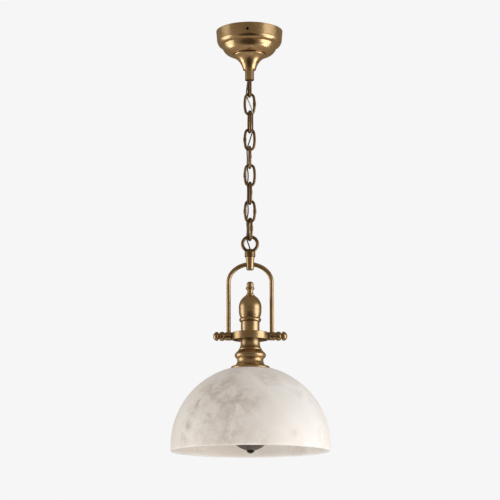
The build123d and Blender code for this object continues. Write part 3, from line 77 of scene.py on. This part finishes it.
# Tool lines and skins: how the noise is stretched along x, y and z, and how far it raises a surface
TURNED_UPRIGHT = (60.0, 60.0, 2600.0)
TURNED_ACROSS = (2600.0, 60.0, 60.0)
CAST = (420.0, 420.0, 420.0)
DRAWN_UPRIGHT = (90.0, 90.0, 1500.0)
ROLLED_ACROSS = (700.0, 60.0, 60.0)
POURED = (300.0, 300.0, 300.0)
WOVEN = (900.0, 900.0, 1500.0)
FINE_BUMP = 0.0003

# Aged brass: light and mid tones, tool lines and roughness, with one dark brown for painted shade in the hollows
# of all
BRASS_CREVICE_SHADE = (0.085, 0.050, 0.020, 1)
CREVICE_SHADE_REACH = 0.003
WORN_SPREAD = 0.06
AGED_BRASS = {
    "aged_brass": ((0.655, 0.480, 0.270, 1), (0.565, 0.405, 0.220, 1), TURNED_UPRIGHT, 0.24),
    "column_brass": ((0.56, 0.405, 0.225, 1), (0.455, 0.322, 0.173, 1), TURNED_UPRIGHT, 0.31),
    "pivot_brass": ((0.46, 0.315, 0.160, 1), (0.36, 0.240, 0.120, 1), TURNED_ACROSS, 0.28),
    "chain_brass": ((0.32, 0.215, 0.110, 1), (0.22, 0.145, 0.072, 1), CAST, 0.30),
}

# Plain metals: colour, shade, roughness and tool lines
PLAIN_METALS = {
    "plain_brass": ((0.66, 0.46, 0.19, 1), (0.50, 0.33, 0.13, 1), 0.3, DRAWN_UPRIGHT),
    "zinc_steel": ((0.60, 0.61, 0.62, 1), (0.42, 0.43, 0.44, 1), 0.36, ROLLED_ACROSS),
    "solder": ((0.50, 0.50, 0.51, 1), (0.34, 0.34, 0.35, 1), 0.4, POURED),
    # Painted shade: near-black steel for the side screws, standing in for the dark inside the holes they sit in
    "hole_shade_black": ((0.020, 0.018, 0.016, 1), (0.010, 0.009, 0.008, 1), 0.55, ROLLED_ACROSS),
}

# Rubber, plastic and glazed ware: colour, shade, roughness, grain and bump
MOULDED_WARE = {
    "green_screw": ((0.05, 0.20, 0.07, 1), (0.03, 0.13, 0.05, 1), 0.35, 300.0, 0.1),
    "dark_rubber": ((0.050, 0.032, 0.018, 1), (0.032, 0.020, 0.012, 1), 0.6, 600.0, 0.2),
    "porcelain": ((0.80, 0.79, 0.75, 1), (0.72, 0.70, 0.66, 1), 0.15, 120.0, 0.05),
    "white_plastic": ((0.74, 0.72, 0.68, 1), (0.64, 0.62, 0.57, 1), 0.4, 400.0, 0.1),
    "black_insulator": ((0.02, 0.02, 0.022, 1), (0.01, 0.01, 0.011, 1), 0.12, 200.0, 0.05),
}

# Nodes whose finish isn't that of their material slot
CHAIN_LINKS = [name for name in nodes if name.startswith("chain_link")]
OWN_FINISHES = {
    # The side screws get near-black steel as painted shade for their holes
    "hole_shade_black": ["side_screws"],
    "pivot_brass": ["knob_left", "knob_right", "bail_eye_left", "bail_eye_right"],
    "column_brass": [
        "bail_arm_left", "bail_arm_right", "bail_stem",
        "collar_ring", "neck_sleeve", "check_ring", "urn", "finial", "shade_holder",
    ],
    "chain_brass": ["hanger_loop", *CHAIN_LINKS, "suspension_ring"],
}

# Stone: the sphere of its outside, its colours, and its front's clouds as across, height, reach and depth
STONE_RADIUS = 0.150
STONE_CENTRE = -0.8088
STONE_PALE = (0.785, 0.755, 0.725, 1)
STONE_GREY = (0.665, 0.620, 0.575, 1)
STONE_TAUPE = (0.440, 0.380, 0.325, 1)
STONE_SPECK = (0.90, 0.88, 0.86, 1)
# Where the stone goes from grey on the left to pale on the right: partly its own drift, partly painted light from
# the right
STONE_GREY_SHADED_SIDE = -0.14
STONE_PALE_LIT_SIDE = 0.12
STONE_FRONT = -0.05
STONE_BACK = 0.05
STONE_CLOUDS = [
    (-0.070, -0.717, 0.058, 0.95),
    (-0.045, -0.702, 0.046, 0.80),
    (-0.036, -0.736, 0.056, 1.00),
    (-0.008, -0.743, 0.050, 0.85),
    (-0.100, -0.749, 0.034, 0.95),
    (-0.115, -0.778, 0.030, 0.90),
    (-0.120, -0.806, 0.028, 0.85),
    (-0.028, -0.681, 0.032, 0.65),
    (0.034, -0.691, 0.032, 0.60),
    (-0.040, -0.767, 0.052, 0.70),
    (-0.077, -0.768, 0.030, 0.70),
    (0.086, -0.720, 0.020, 0.45),
    (0.074, -0.802, 0.012, 0.45),
    (-0.050, -0.803, 0.085, 0.70),
    (0.019, -0.813, 0.050, 0.42),
]

# Cord: the route's points in metres, from the terminal block through the chain to the ring's cup
CORD_RADIUS = 0.0013
CORD_SIDES = 14
CORD_STEPS = 14
CORD_ROUTE = [
    (0.00153, 0.02646, -0.0090),
    (0.00075, 0.01298, -0.0090),
    (0.00025, 0.0042, -0.0138),
    (0.0, 0.0002, -0.0230),
    (0.0, 0.0, -0.0340),
    (0.0002, 0.0001, -0.0550),
    (-0.0003, 0.0, -0.0780),
    (-0.0025, 0.0004, -0.0945),
    (-0.0049, 0.0027, -0.1110),
    (-0.0068, 0.0050, -0.1289),
    (0.0008, 0.0003, -0.1470),
    (0.0061, -0.0050, -0.1644),
    (0.0057, -0.0045, -0.1820),
    (0.0060, -0.0051, -0.1999),
    (0.0009, -0.0002, -0.2175),
    (-0.0058, 0.0055, -0.2354),
    (-0.0044, 0.0046, -0.2530),
    (-0.0052, 0.0050, -0.2709),
    (-0.0026, 0.0003, -0.2886),
    (-0.0047, -0.0050, -0.3064),
    (-0.0040, -0.0045, -0.3240),
    (-0.0047, -0.0050, -0.3419),
    (-0.0026, -0.0002, -0.3596),
    (-0.0066, 0.0051, -0.3774),
    (-0.0046, 0.0042, -0.3950),
    (-0.0068, 0.0054, -0.4125),
    (-0.0024, 0.0016, -0.4250),
    (0.0004, -0.0003, -0.4345),
    (0.0, 0.0, -0.4480),
]
CORD_DARK = (0.075, 0.042, 0.028, 1)
CORD_LIGHT = (0.14, 0.085, 0.06, 1)
# The pale band inside the first link, between these heights, is a painted highlight
CORD_HIGHLIGHT = (0.55, 0.50, 0.45, 1)
CORD_HIGHLIGHT_TOP = -0.134
CORD_HIGHLIGHT_FOOT = -0.166
CORD_HIGHLIGHT_FADE = 0.006

# Bulb: its smoky glass and the clear glass inside, the dark funnel round the drawn tip as a painted dark
# refraction, and the tip itself with a painted highlight
SMOKY = (0.30, 0.285, 0.27, 1)
CLEAR = (0.92, 0.93, 0.93, 1)
GLASS_WAVE = (1.0, 1.0, 1.0, 1)
TIP_DARK_REFRACTION_RADIUS = 0.0100
TIP_DARK_REFRACTION = (0.035, 0.032, 0.030, 1)
TIP_HIGHLIGHT_RADIUS = 0.0042
TIP_HIGHLIGHT = (0.62, 0.60, 0.57, 1)

# Sockets of a mix node that are for colours, because its other kinds use the same names
MIX_FIRST = 6
MIX_SECOND = 7
MIX_RESULT = 2


class Nodes:
    """A node tree, with short calls for the nodes that the finishes and the surround share."""

    def __init__(self, tree, coordinates):
        self.tree = tree
        self.place = tree.nodes.new("ShaderNodeTexCoord").outputs[coordinates]

    def link(self, value, socket):
        """Feed a socket from another node, or set it to a fixed value."""
        if isinstance(value, bpy.types.NodeSocket):
            self.tree.links.new(value, socket)
        else:
            socket.default_value = value

    def stretched(self, x, y, z):
        """The place on the object, stretched along its axes."""
        node = self.tree.nodes.new("ShaderNodeMapping")
        self.link(self.place, node.inputs["Vector"])
        node.inputs["Scale"].default_value = (x, y, z)
        return node.outputs["Vector"]

    def noise(self, scale, detail=4.0, roughness=0.5, distortion=0.0, where=None):
        """Cloudy noise between 0 and 1."""
        node = self.tree.nodes.new("ShaderNodeTexNoise")
        self.link(self.place if where is None else where, node.inputs["Vector"])
        node.inputs["Scale"].default_value = scale
        node.inputs["Detail"].default_value = detail
        node.inputs["Roughness"].default_value = roughness
        node.inputs["Distortion"].default_value = distortion
        return node.outputs["Fac"]

    def warped(self, scale, amount, detail=3.0):
        """The place on the object, pushed about by a coarse noise."""
        node = self.tree.nodes.new("ShaderNodeTexNoise")
        self.link(self.place, node.inputs["Vector"])
        node.inputs["Scale"].default_value = scale
        node.inputs["Detail"].default_value = detail
        centred = self.vector_math("SUBTRACT", node.outputs["Color"], (0.5, 0.5, 0.5))
        return self.vector_math("MULTIPLY_ADD", centred, (amount, amount, amount), self.place)

    def spot(self, where, centre, reach):
        """1 at a point, falling smoothly to 0 at its reach."""
        distance = self.vector_math("DISTANCE", where, centre, gives="Value")
        return self.range(distance, 0.0, reach, to_low=1.0, to_high=0.0)

    def vector_math(self, operation, first, second, third=None, gives="Vector"):
        """Work on two or three vectors, which gives a vector or a value."""
        node = self.tree.nodes.new("ShaderNodeVectorMath")
        node.operation = operation
        self.link(first, node.inputs[0])
        self.link(second, node.inputs[1])
        if third is not None:
            self.link(third, node.inputs[2])
        return node.outputs[gives]

    def math(self, operation, first, second=0.5):
        """Work on one or two numbers."""
        node = self.tree.nodes.new("ShaderNodeMath")
        node.operation = operation
        self.link(first, node.inputs[0])
        self.link(second, node.inputs[1])
        return node.outputs["Value"]

    def range(self, value, low, high, to_low=0.0, to_high=1.0):
        """Map a value smoothly from one range to another."""
        node = self.tree.nodes.new("ShaderNodeMapRange")
        node.interpolation_type = "SMOOTHSTEP"
        self.link(value, node.inputs["Value"])
        node.inputs["From Min"].default_value = low
        node.inputs["From Max"].default_value = high
        node.inputs["To Min"].default_value = to_low
        node.inputs["To Max"].default_value = to_high
        return node.outputs["Result"]

    def mix(self, factor, first, second):
        """Mix two colours."""
        node = self.tree.nodes.new("ShaderNodeMix")
        node.data_type = "RGBA"
        self.link(factor, node.inputs["Factor"])
        self.link(first, node.inputs[MIX_FIRST])
        self.link(second, node.inputs[MIX_SECOND])
        return node.outputs[MIX_RESULT]

    def along(self, axis):
        """One coordinate of the place on the object, or of the way into the surround."""
        node = self.tree.nodes.new("ShaderNodeSeparateXYZ")
        self.link(self.place, node.inputs["Vector"])
        return node.outputs[axis]


class Shader(Nodes):
    """A material with nodes of its own."""

    def __init__(self, name):
        self.material = bpy.data.materials.new(name)
        self.material.use_nodes = True
        super().__init__(self.material.node_tree, "Object")
        self.surface = self.tree.nodes["Principled BSDF"]

    def set(self, **values):
        """Set the surface's own inputs by name, with spaces written as underscores."""
        for name, value in values.items():
            self.link(value, self.surface.inputs[name.replace("_", " ")])

    def crevice(self, distance):
        """Near 0 in corners and 1 on open surfaces."""
        node = self.tree.nodes.new("ShaderNodeAmbientOcclusion")
        node.inputs["Distance"].default_value = distance
        return node.outputs["AO"]

    def bump(self, height, strength, distance=FINE_BUMP):
        """Let a height raise the surface."""
        node = self.tree.nodes.new("ShaderNodeBump")
        node.inputs["Strength"].default_value = strength
        node.inputs["Distance"].default_value = distance
        self.link(height, node.inputs["Height"])
        self.link(node.outputs["Normal"], self.surface.inputs["Normal"])


def aged_brass(name, light, mid, tool_lines, rough):
    """Lacquered brass with painted shade, darker brown in its hollows, and fine lines from turning or casting."""
    shader = Shader(name)
    cloud = shader.noise(scale=30.0, detail=5.0, roughness=0.55, distortion=0.4)
    tone = shader.mix(shader.range(cloud, 0.30, 0.70), mid, light)
    # Painted shade: the tone is mixed towards dark brown where ambient occlusion finds the surface closed in
    crevice_shade = shader.range(shader.crevice(CREVICE_SHADE_REACH), 0.25, 0.85, to_low=0.40, to_high=0.0)
    tone = shader.mix(crevice_shade, tone, BRASS_CREVICE_SHADE)
    lines = shader.noise(scale=1.0, detail=3.0, roughness=0.6, where=shader.stretched(*tool_lines))
    patches = shader.noise(scale=60.0, detail=3.0)
    worn = shader.range(patches, 0.3, 0.7, to_low=rough, to_high=rough + WORN_SPREAD)
    shader.set(Base_Color=tone, Metallic=1.0, Roughness=worn)
    shader.bump(lines, strength=0.008)
    return shader.material


def plain_metal(name, colour, shade, rough, tool_lines):
    """Machined metal with fine tool lines."""
    shader = Shader(name)
    lines = shader.noise(scale=1.0, detail=4.0, roughness=0.6, where=shader.stretched(*tool_lines))
    tone = shader.mix(shader.range(lines, 0.3, 0.7), shade, colour)
    shader.set(Base_Color=tone, Metallic=1.0, Roughness=rough)
    shader.bump(lines, strength=0.12)
    return shader.material


def moulded(name, colour, shade, rough, grain, bump):
    """Rubber, plastic or glazed ware: a slight drift of tone and a fine skin."""
    shader = Shader(name)
    skin = shader.noise(scale=grain, detail=4.0, roughness=0.6)
    drift = shader.noise(scale=60.0, detail=3.0)
    tone = shader.mix(shader.range(drift, 0.35, 0.65), shade, colour)
    shader.set(Base_Color=tone, Roughness=rough)
    shader.bump(skin, strength=bump)
    return shader.material


def stone_point(across, height):
    """A point on the front of the stone's outside."""
    rise = height - STONE_CENTRE
    return (across, -math.sqrt(STONE_RADIUS ** 2 - across ** 2 - rise ** 2), height)


def alabaster():
    """Honed translucent stone: pale drifts, thin veins, curdled taupe clouds, most on the upper left, and a paling
    towards the right that is partly painted light.
    """
    shader = Shader("alabaster")
    bent = shader.warped(scale=15.0, amount=0.055)
    curdled = shader.warped(scale=22.0, amount=0.03)
    curdle = shader.noise(scale=52.0, detail=7.0, roughness=0.66, distortion=0.5, where=curdled)
    drifted = shader.warped(scale=9.0, amount=0.08)
    drift = shader.noise(scale=9.0, detail=5.0, roughness=0.55, distortion=0.8, where=drifted)
    threaded = shader.warped(scale=8.0, amount=0.10)
    thread = shader.noise(scale=20.0, detail=7.0, roughness=0.6, distortion=1.2, where=threaded)
    fine = shader.noise(scale=130.0, detail=4.0, roughness=0.6)

    behind = shader.range(shader.along("Y"), STONE_FRONT, STONE_BACK)
    cloud = shader.math("MULTIPLY", shader.range(drift, 0.48, 0.66, to_high=0.45), behind)
    for across, height, reach, depth in STONE_CLOUDS:
        spot = shader.spot(bent, stone_point(across, height), reach)
        cloud = shader.math("MAXIMUM", cloud, shader.math("MULTIPLY", spot, depth))
    patch = shader.math("MULTIPLY", cloud, shader.range(curdle, 0.36, 0.66, to_low=0.10))

    # Paler towards the right: partly the stone's own drift, partly painted light from the right side
    pale_and_lit_rightward = shader.range(shader.along("X"), STONE_GREY_SHADED_SIDE, STONE_PALE_LIT_SIDE)
    pale_drift = shader.range(drift, 0.34, 0.66, to_high=0.5)
    pale = shader.math("ADD", shader.math("MULTIPLY", pale_and_lit_rightward, 0.5), pale_drift)
    off_thread = shader.math("ABSOLUTE", shader.math("SUBTRACT", thread, 0.5))
    vein = shader.range(off_thread, 0.0, 0.03, to_low=1.0, to_high=0.0)
    vein = shader.math("MULTIPLY", vein, shader.range(drift, 0.42, 0.60, to_low=0.04, to_high=0.22))

    tone = shader.mix(pale, STONE_GREY, STONE_PALE)
    tone = shader.mix(vein, tone, STONE_TAUPE)
    tone = shader.mix(patch, tone, STONE_TAUPE)
    tone = shader.mix(shader.range(fine, 0.55, 0.8, to_high=0.10), tone, STONE_SPECK)
    rough = shader.range(curdle, 0.3, 0.7, to_low=0.36, to_high=0.48)
    shader.set(
        Base_Color=tone, Roughness=rough, IOR=1.52, Specular_IOR_Level=0.35,
        Subsurface_Weight=0.85, Subsurface_Radius=(1.0, 0.88, 0.76), Subsurface_Scale=0.020,
    )
    shader.bump(fine, strength=0.06, distance=0.0006)
    return shader.material


def brown_cord():
    """Smooth brown sleeving with a fine weave, and a painted highlight, a pale band, inside the first link."""
    shader = Shader("brown_cord")
    height = shader.along("Z")
    above_foot = shader.range(height, CORD_HIGHLIGHT_FOOT - CORD_HIGHLIGHT_FADE, CORD_HIGHLIGHT_FOOT + CORD_HIGHLIGHT_FADE)
    below_top = shader.range(
        height, CORD_HIGHLIGHT_TOP - CORD_HIGHLIGHT_FADE, CORD_HIGHLIGHT_TOP + CORD_HIGHLIGHT_FADE, to_low=1.0, to_high=0.0,
    )
    # Painted highlight: the pale band inside the first link
    pale = shader.math("MULTIPLY", above_foot, below_top)
    weave = shader.noise(scale=1.0, detail=2.0, roughness=0.5, where=shader.stretched(*WOVEN))
    tone = shader.mix(shader.range(weave, 0.35, 0.65), CORD_DARK, CORD_LIGHT)
    tone = shader.mix(pale, tone, CORD_HIGHLIGHT)
    shader.set(Base_Color=tone, Roughness=0.55)
    shader.bump(weave, strength=0.25)
    return shader.material


def glass(name, tint, rough, paint_tip_marks=False):
    """Thin blown glass, with faint waves and, on a bulb, a painted dark refraction round a painted highlight on
    the drawn tip.
    """
    shader = Shader(name)
    wave = shader.noise(scale=45.0, detail=2.0)
    tone = shader.mix(shader.range(wave, 0.2, 0.8, to_high=0.15), tint, GLASS_WAVE)
    if paint_tip_marks:
        # Painted dark refraction and painted highlight: a dark ring round the drawn tip and a pale spot on it
        flat = shader.vector_math("MULTIPLY", shader.place, (1.0, 1.0, 0.0))
        ring = shader.spot(flat, (0.0, 0.0, 0.0), TIP_DARK_REFRACTION_RADIUS)
        tip = shader.spot(flat, (0.0, 0.0, 0.0), TIP_HIGHLIGHT_RADIUS)
        tone = shader.mix(shader.range(ring, 0.02, 0.30), tone, TIP_DARK_REFRACTION)
        tone = shader.mix(shader.range(tip, 0.10, 0.60), tone, TIP_HIGHLIGHT)
    shader.set(Base_Color=tone, Roughness=rough, IOR=1.5, Transmission_Weight=1.0)
    shader.bump(wave, strength=0.03, distance=0.001)
    return shader.material


def make_finishes():
    """Every finish by name."""
    finishes = {
        "brown_cord": brown_cord(),
        "alabaster": alabaster(),
        "smoky_glass": glass("smoky_glass", SMOKY, rough=0.02, paint_tip_marks=True),
        "clear_glass": glass("clear_glass", CLEAR, rough=0.03),
    }
    for make, kinds in ((aged_brass, AGED_BRASS), (plain_metal, PLAIN_METALS), (moulded, MOULDED_WARE)):
        for name, settings in kinds.items():
            finishes[name] = make(name, *settings)
    return finishes


def dress_nodes(finishes):
    """Give every carried-over CAD node its own finish or that of its material slot."""
    own = {name: finish for finish, names in OWN_FINISHES.items() for name in names}
    for subpart in frame["record"]["subparts"]:
        name = subpart["node"]
        node = nodes[name]
        node.data.materials.clear()
        node.data.materials.append(finishes[own.get(name, subpart["material_slot"])])


def cord_line():
    """Points along one smooth curve that has the route's points as its control points."""
    curve = bpy.data.curves.new("cord_route", "CURVE")
    curve.dimensions = "3D"
    spline = curve.splines.new("NURBS")
    spline.points.add(len(CORD_ROUTE) - 1)
    for point, place in zip(spline.points, CORD_ROUTE):
        point.co = (*place, 1.0)
    spline.order_u = 3
    spline.use_endpoint_u = True
    spline.resolution_u = CORD_STEPS
    holder = bpy.data.objects.new("cord_route", curve)
    bpy.context.collection.objects.link(holder)
    bpy.context.view_layer.update()
    mesh = bpy.data.meshes.new_from_object(holder)
    line = [vertex.co.copy() for vertex in mesh.vertices]
    bpy.data.objects.remove(holder)
    bpy.data.curves.remove(curve)
    bpy.data.meshes.remove(mesh)
    return line


def cord_rings(line):
    """Rings of points round a line, each turned on from the one before without twisting."""
    rings = []
    across = Vector((1, 0, 0))
    for index, place in enumerate(line):
        before = line[max(index - 1, 0)]
        after = line[min(index + 1, len(line) - 1)]
        ahead = (after - before).normalized()
        across = (across - ahead * across.dot(ahead)).normalized()
        other = ahead.cross(across)
        ring = []
        for side in range(CORD_SIDES):
            turn = 2 * math.pi * side / CORD_SIDES
            ring.append(place + CORD_RADIUS * (across * math.cos(turn) + other * math.sin(turn)))
        rings.append(ring)
    return rings


def tube(name, rings):
    """A closed tube through rings of points."""
    mesh = bmesh.new()
    loops = [[mesh.verts.new(point) for point in ring] for ring in rings]
    for first, second in zip(loops, loops[1:]):
        for side in range(CORD_SIDES):
            after = (side + 1) % CORD_SIDES
            mesh.faces.new((first[side], first[after], second[after], second[side]))
    mesh.faces.new(list(reversed(loops[0])))
    mesh.faces.new(loops[-1])
    for face in mesh.faces:
        face.smooth = len(face.verts) == 4
    bmesh.ops.recalc_face_normals(mesh, faces=mesh.faces[:])
    data = bpy.data.meshes.new(name)
    mesh.to_mesh(data)
    mesh.free()
    piece = bpy.data.objects.new(name, data)
    bpy.context.collection.objects.link(piece)
    return piece


def make_cord(finish):
    """The cord in lengths, from the middle of one link to the next, each crossing one joint."""
    line = cord_line()
    rings = cord_rings(line)
    swings = [joint for joint in frame["joints"] if joint["name"].endswith("_swing")]
    heights = [joint["pos_m"][2] for joint in swings]
    cuts = [(upper + lower) / 2 for upper, lower in zip(heights, heights[1:])]
    marks = [0]
    for cut in cuts:
        marks.append(min(range(len(line)), key=lambda index: abs(line[index].z - cut)))
    marks.append(len(line) - 1)
    for number, (joint, height) in enumerate(zip(swings, heights)):
        piece = tube(f"cord_{number + 1}", rings[marks[number]:marks[number + 1] + 1])
        piece.data.materials.append(finish)
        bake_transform(piece)
        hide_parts("supply_cord")


def make_floor():
    """A plain pale floor far below the light."""
    data = bpy.data.meshes.new("floor")
    half = FLOOR_SIZE / 2
    corners = [(-half, -half), (half, -half), (half, half), (-half, half)]
    data.from_pydata([(x, y, FLOOR_HEIGHT) for x, y in corners], [], [(0, 1, 2, 3)])
    floor = bpy.data.objects.new("floor", data)
    bpy.context.collection.objects.link(floor)
    data.materials.append(moulded("floor", FLOOR_LIGHT, FLOOR_DARK, rough=0.7, grain=8.0, bump=0.02))
    floor.visible_glossy = False


def softbox(name, place, target, width, height, power):
    """A large soft light aimed at a point."""
    data = bpy.data.lights.new(name, "AREA")
    data.shape = "RECTANGLE"
    data.size = width
    data.size_y = height
    data.energy = power
    light = bpy.data.objects.new(name, data)
    light.location = place
    light.rotation_euler = (Vector(target) - Vector(place)).to_track_quat("-Z", "Y").to_euler()
    light.visible_glossy = name not in UNMIRRORED
    bpy.context.collection.objects.link(light)


def mirrored_colour(surround):
    """What glossy surfaces mirror: brown at the light's level, paler below, and dark in front and lower."""
    lowered = surround.range(surround.along("Z"), MIRROR_BELOW_FROM, MIRROR_BELOW_TO)
    pale = surround.mix(lowered, MIRROR_LEVEL, MIRROR_BELOW)
    facing = surround.vector_math("DOT_PRODUCT", surround.place, MIRROR_DARK_WAY, gives="Value")
    dimmed = surround.range(facing, MIRROR_DARK_FROM, MIRROR_DARK_TO)
    return surround.mix(dimmed, pale, MIRROR_DARK)


def background(surround, colour, strength=1.0):
    """One background of the surround."""
    node = surround.tree.nodes.new("ShaderNodeBackground")
    surround.link(colour, node.inputs["Color"])
    surround.link(strength, node.inputs["Strength"])
    return node.outputs["Background"]


def choose(surround, ray, chosen, otherwise):
    """One background for one kind of ray, and another for the rest."""
    node = surround.tree.nodes.new("ShaderNodeMixShader")
    surround.link(ray, node.inputs["Fac"])
    surround.link(otherwise, node.inputs[1])
    surround.link(chosen, node.inputs[2])
    return node.outputs["Shader"]


def make_surround():
    """A pale studio: one grey to the camera, even light, and a surround of its own in what brass mirrors."""
    world = bpy.data.worlds.new("studio")
    bpy.context.scene.world = world
    world.use_nodes = True
    tree = world.node_tree
    surround = Nodes(tree, "Generated")
    rays = tree.nodes.new("ShaderNodeLightPath").outputs
    seen = tree.nodes["Background"]
    surround.link(BACKGROUND, seen.inputs["Color"])
    mirrored = background(surround, mirrored_colour(surround))
    even = background(surround, EVEN_COLOUR, EVEN_LIGHT)
    unseen = choose(surround, rays["Is Glossy Ray"], mirrored, even)
    either = choose(surround, rays["Is Camera Ray"], seen.outputs["Background"], unseen)
    surround.link(either, tree.nodes["World Output"].inputs["Surface"])


def make_camera():
    """The photograph's camera: in front of the light and lower than it, turned up a little past level."""
    data = bpy.data.cameras.new("camera")
    data.sensor_fit = "HORIZONTAL"
    data.sensor_width = SENSOR_WIDTH
    data.lens = SENSOR_WIDTH * FOCAL_PIXELS / FRAME_PIXELS
    camera = bpy.data.objects.new("camera", data)
    tip = Matrix.Rotation(math.radians(CAMERA_LEVEL + CAMERA_PITCH), 4, "X")
    roll = Matrix.Rotation(math.radians(CAMERA_ROLL), 4, "Z")
    camera.matrix_world = Matrix.Translation(CAMERA_PLACE) @ tip @ roll
    bpy.context.collection.objects.link(camera)
    bpy.context.scene.camera = camera


finishes = make_finishes()
make_camera()
make_cord(finishes["brown_cord"])
dress_nodes(finishes)
make_floor()
for name, settings in SOFT_BOXES.items():
    softbox(name, *settings)
make_surround()
bpy.context.scene.view_settings.view_transform = "Standard"
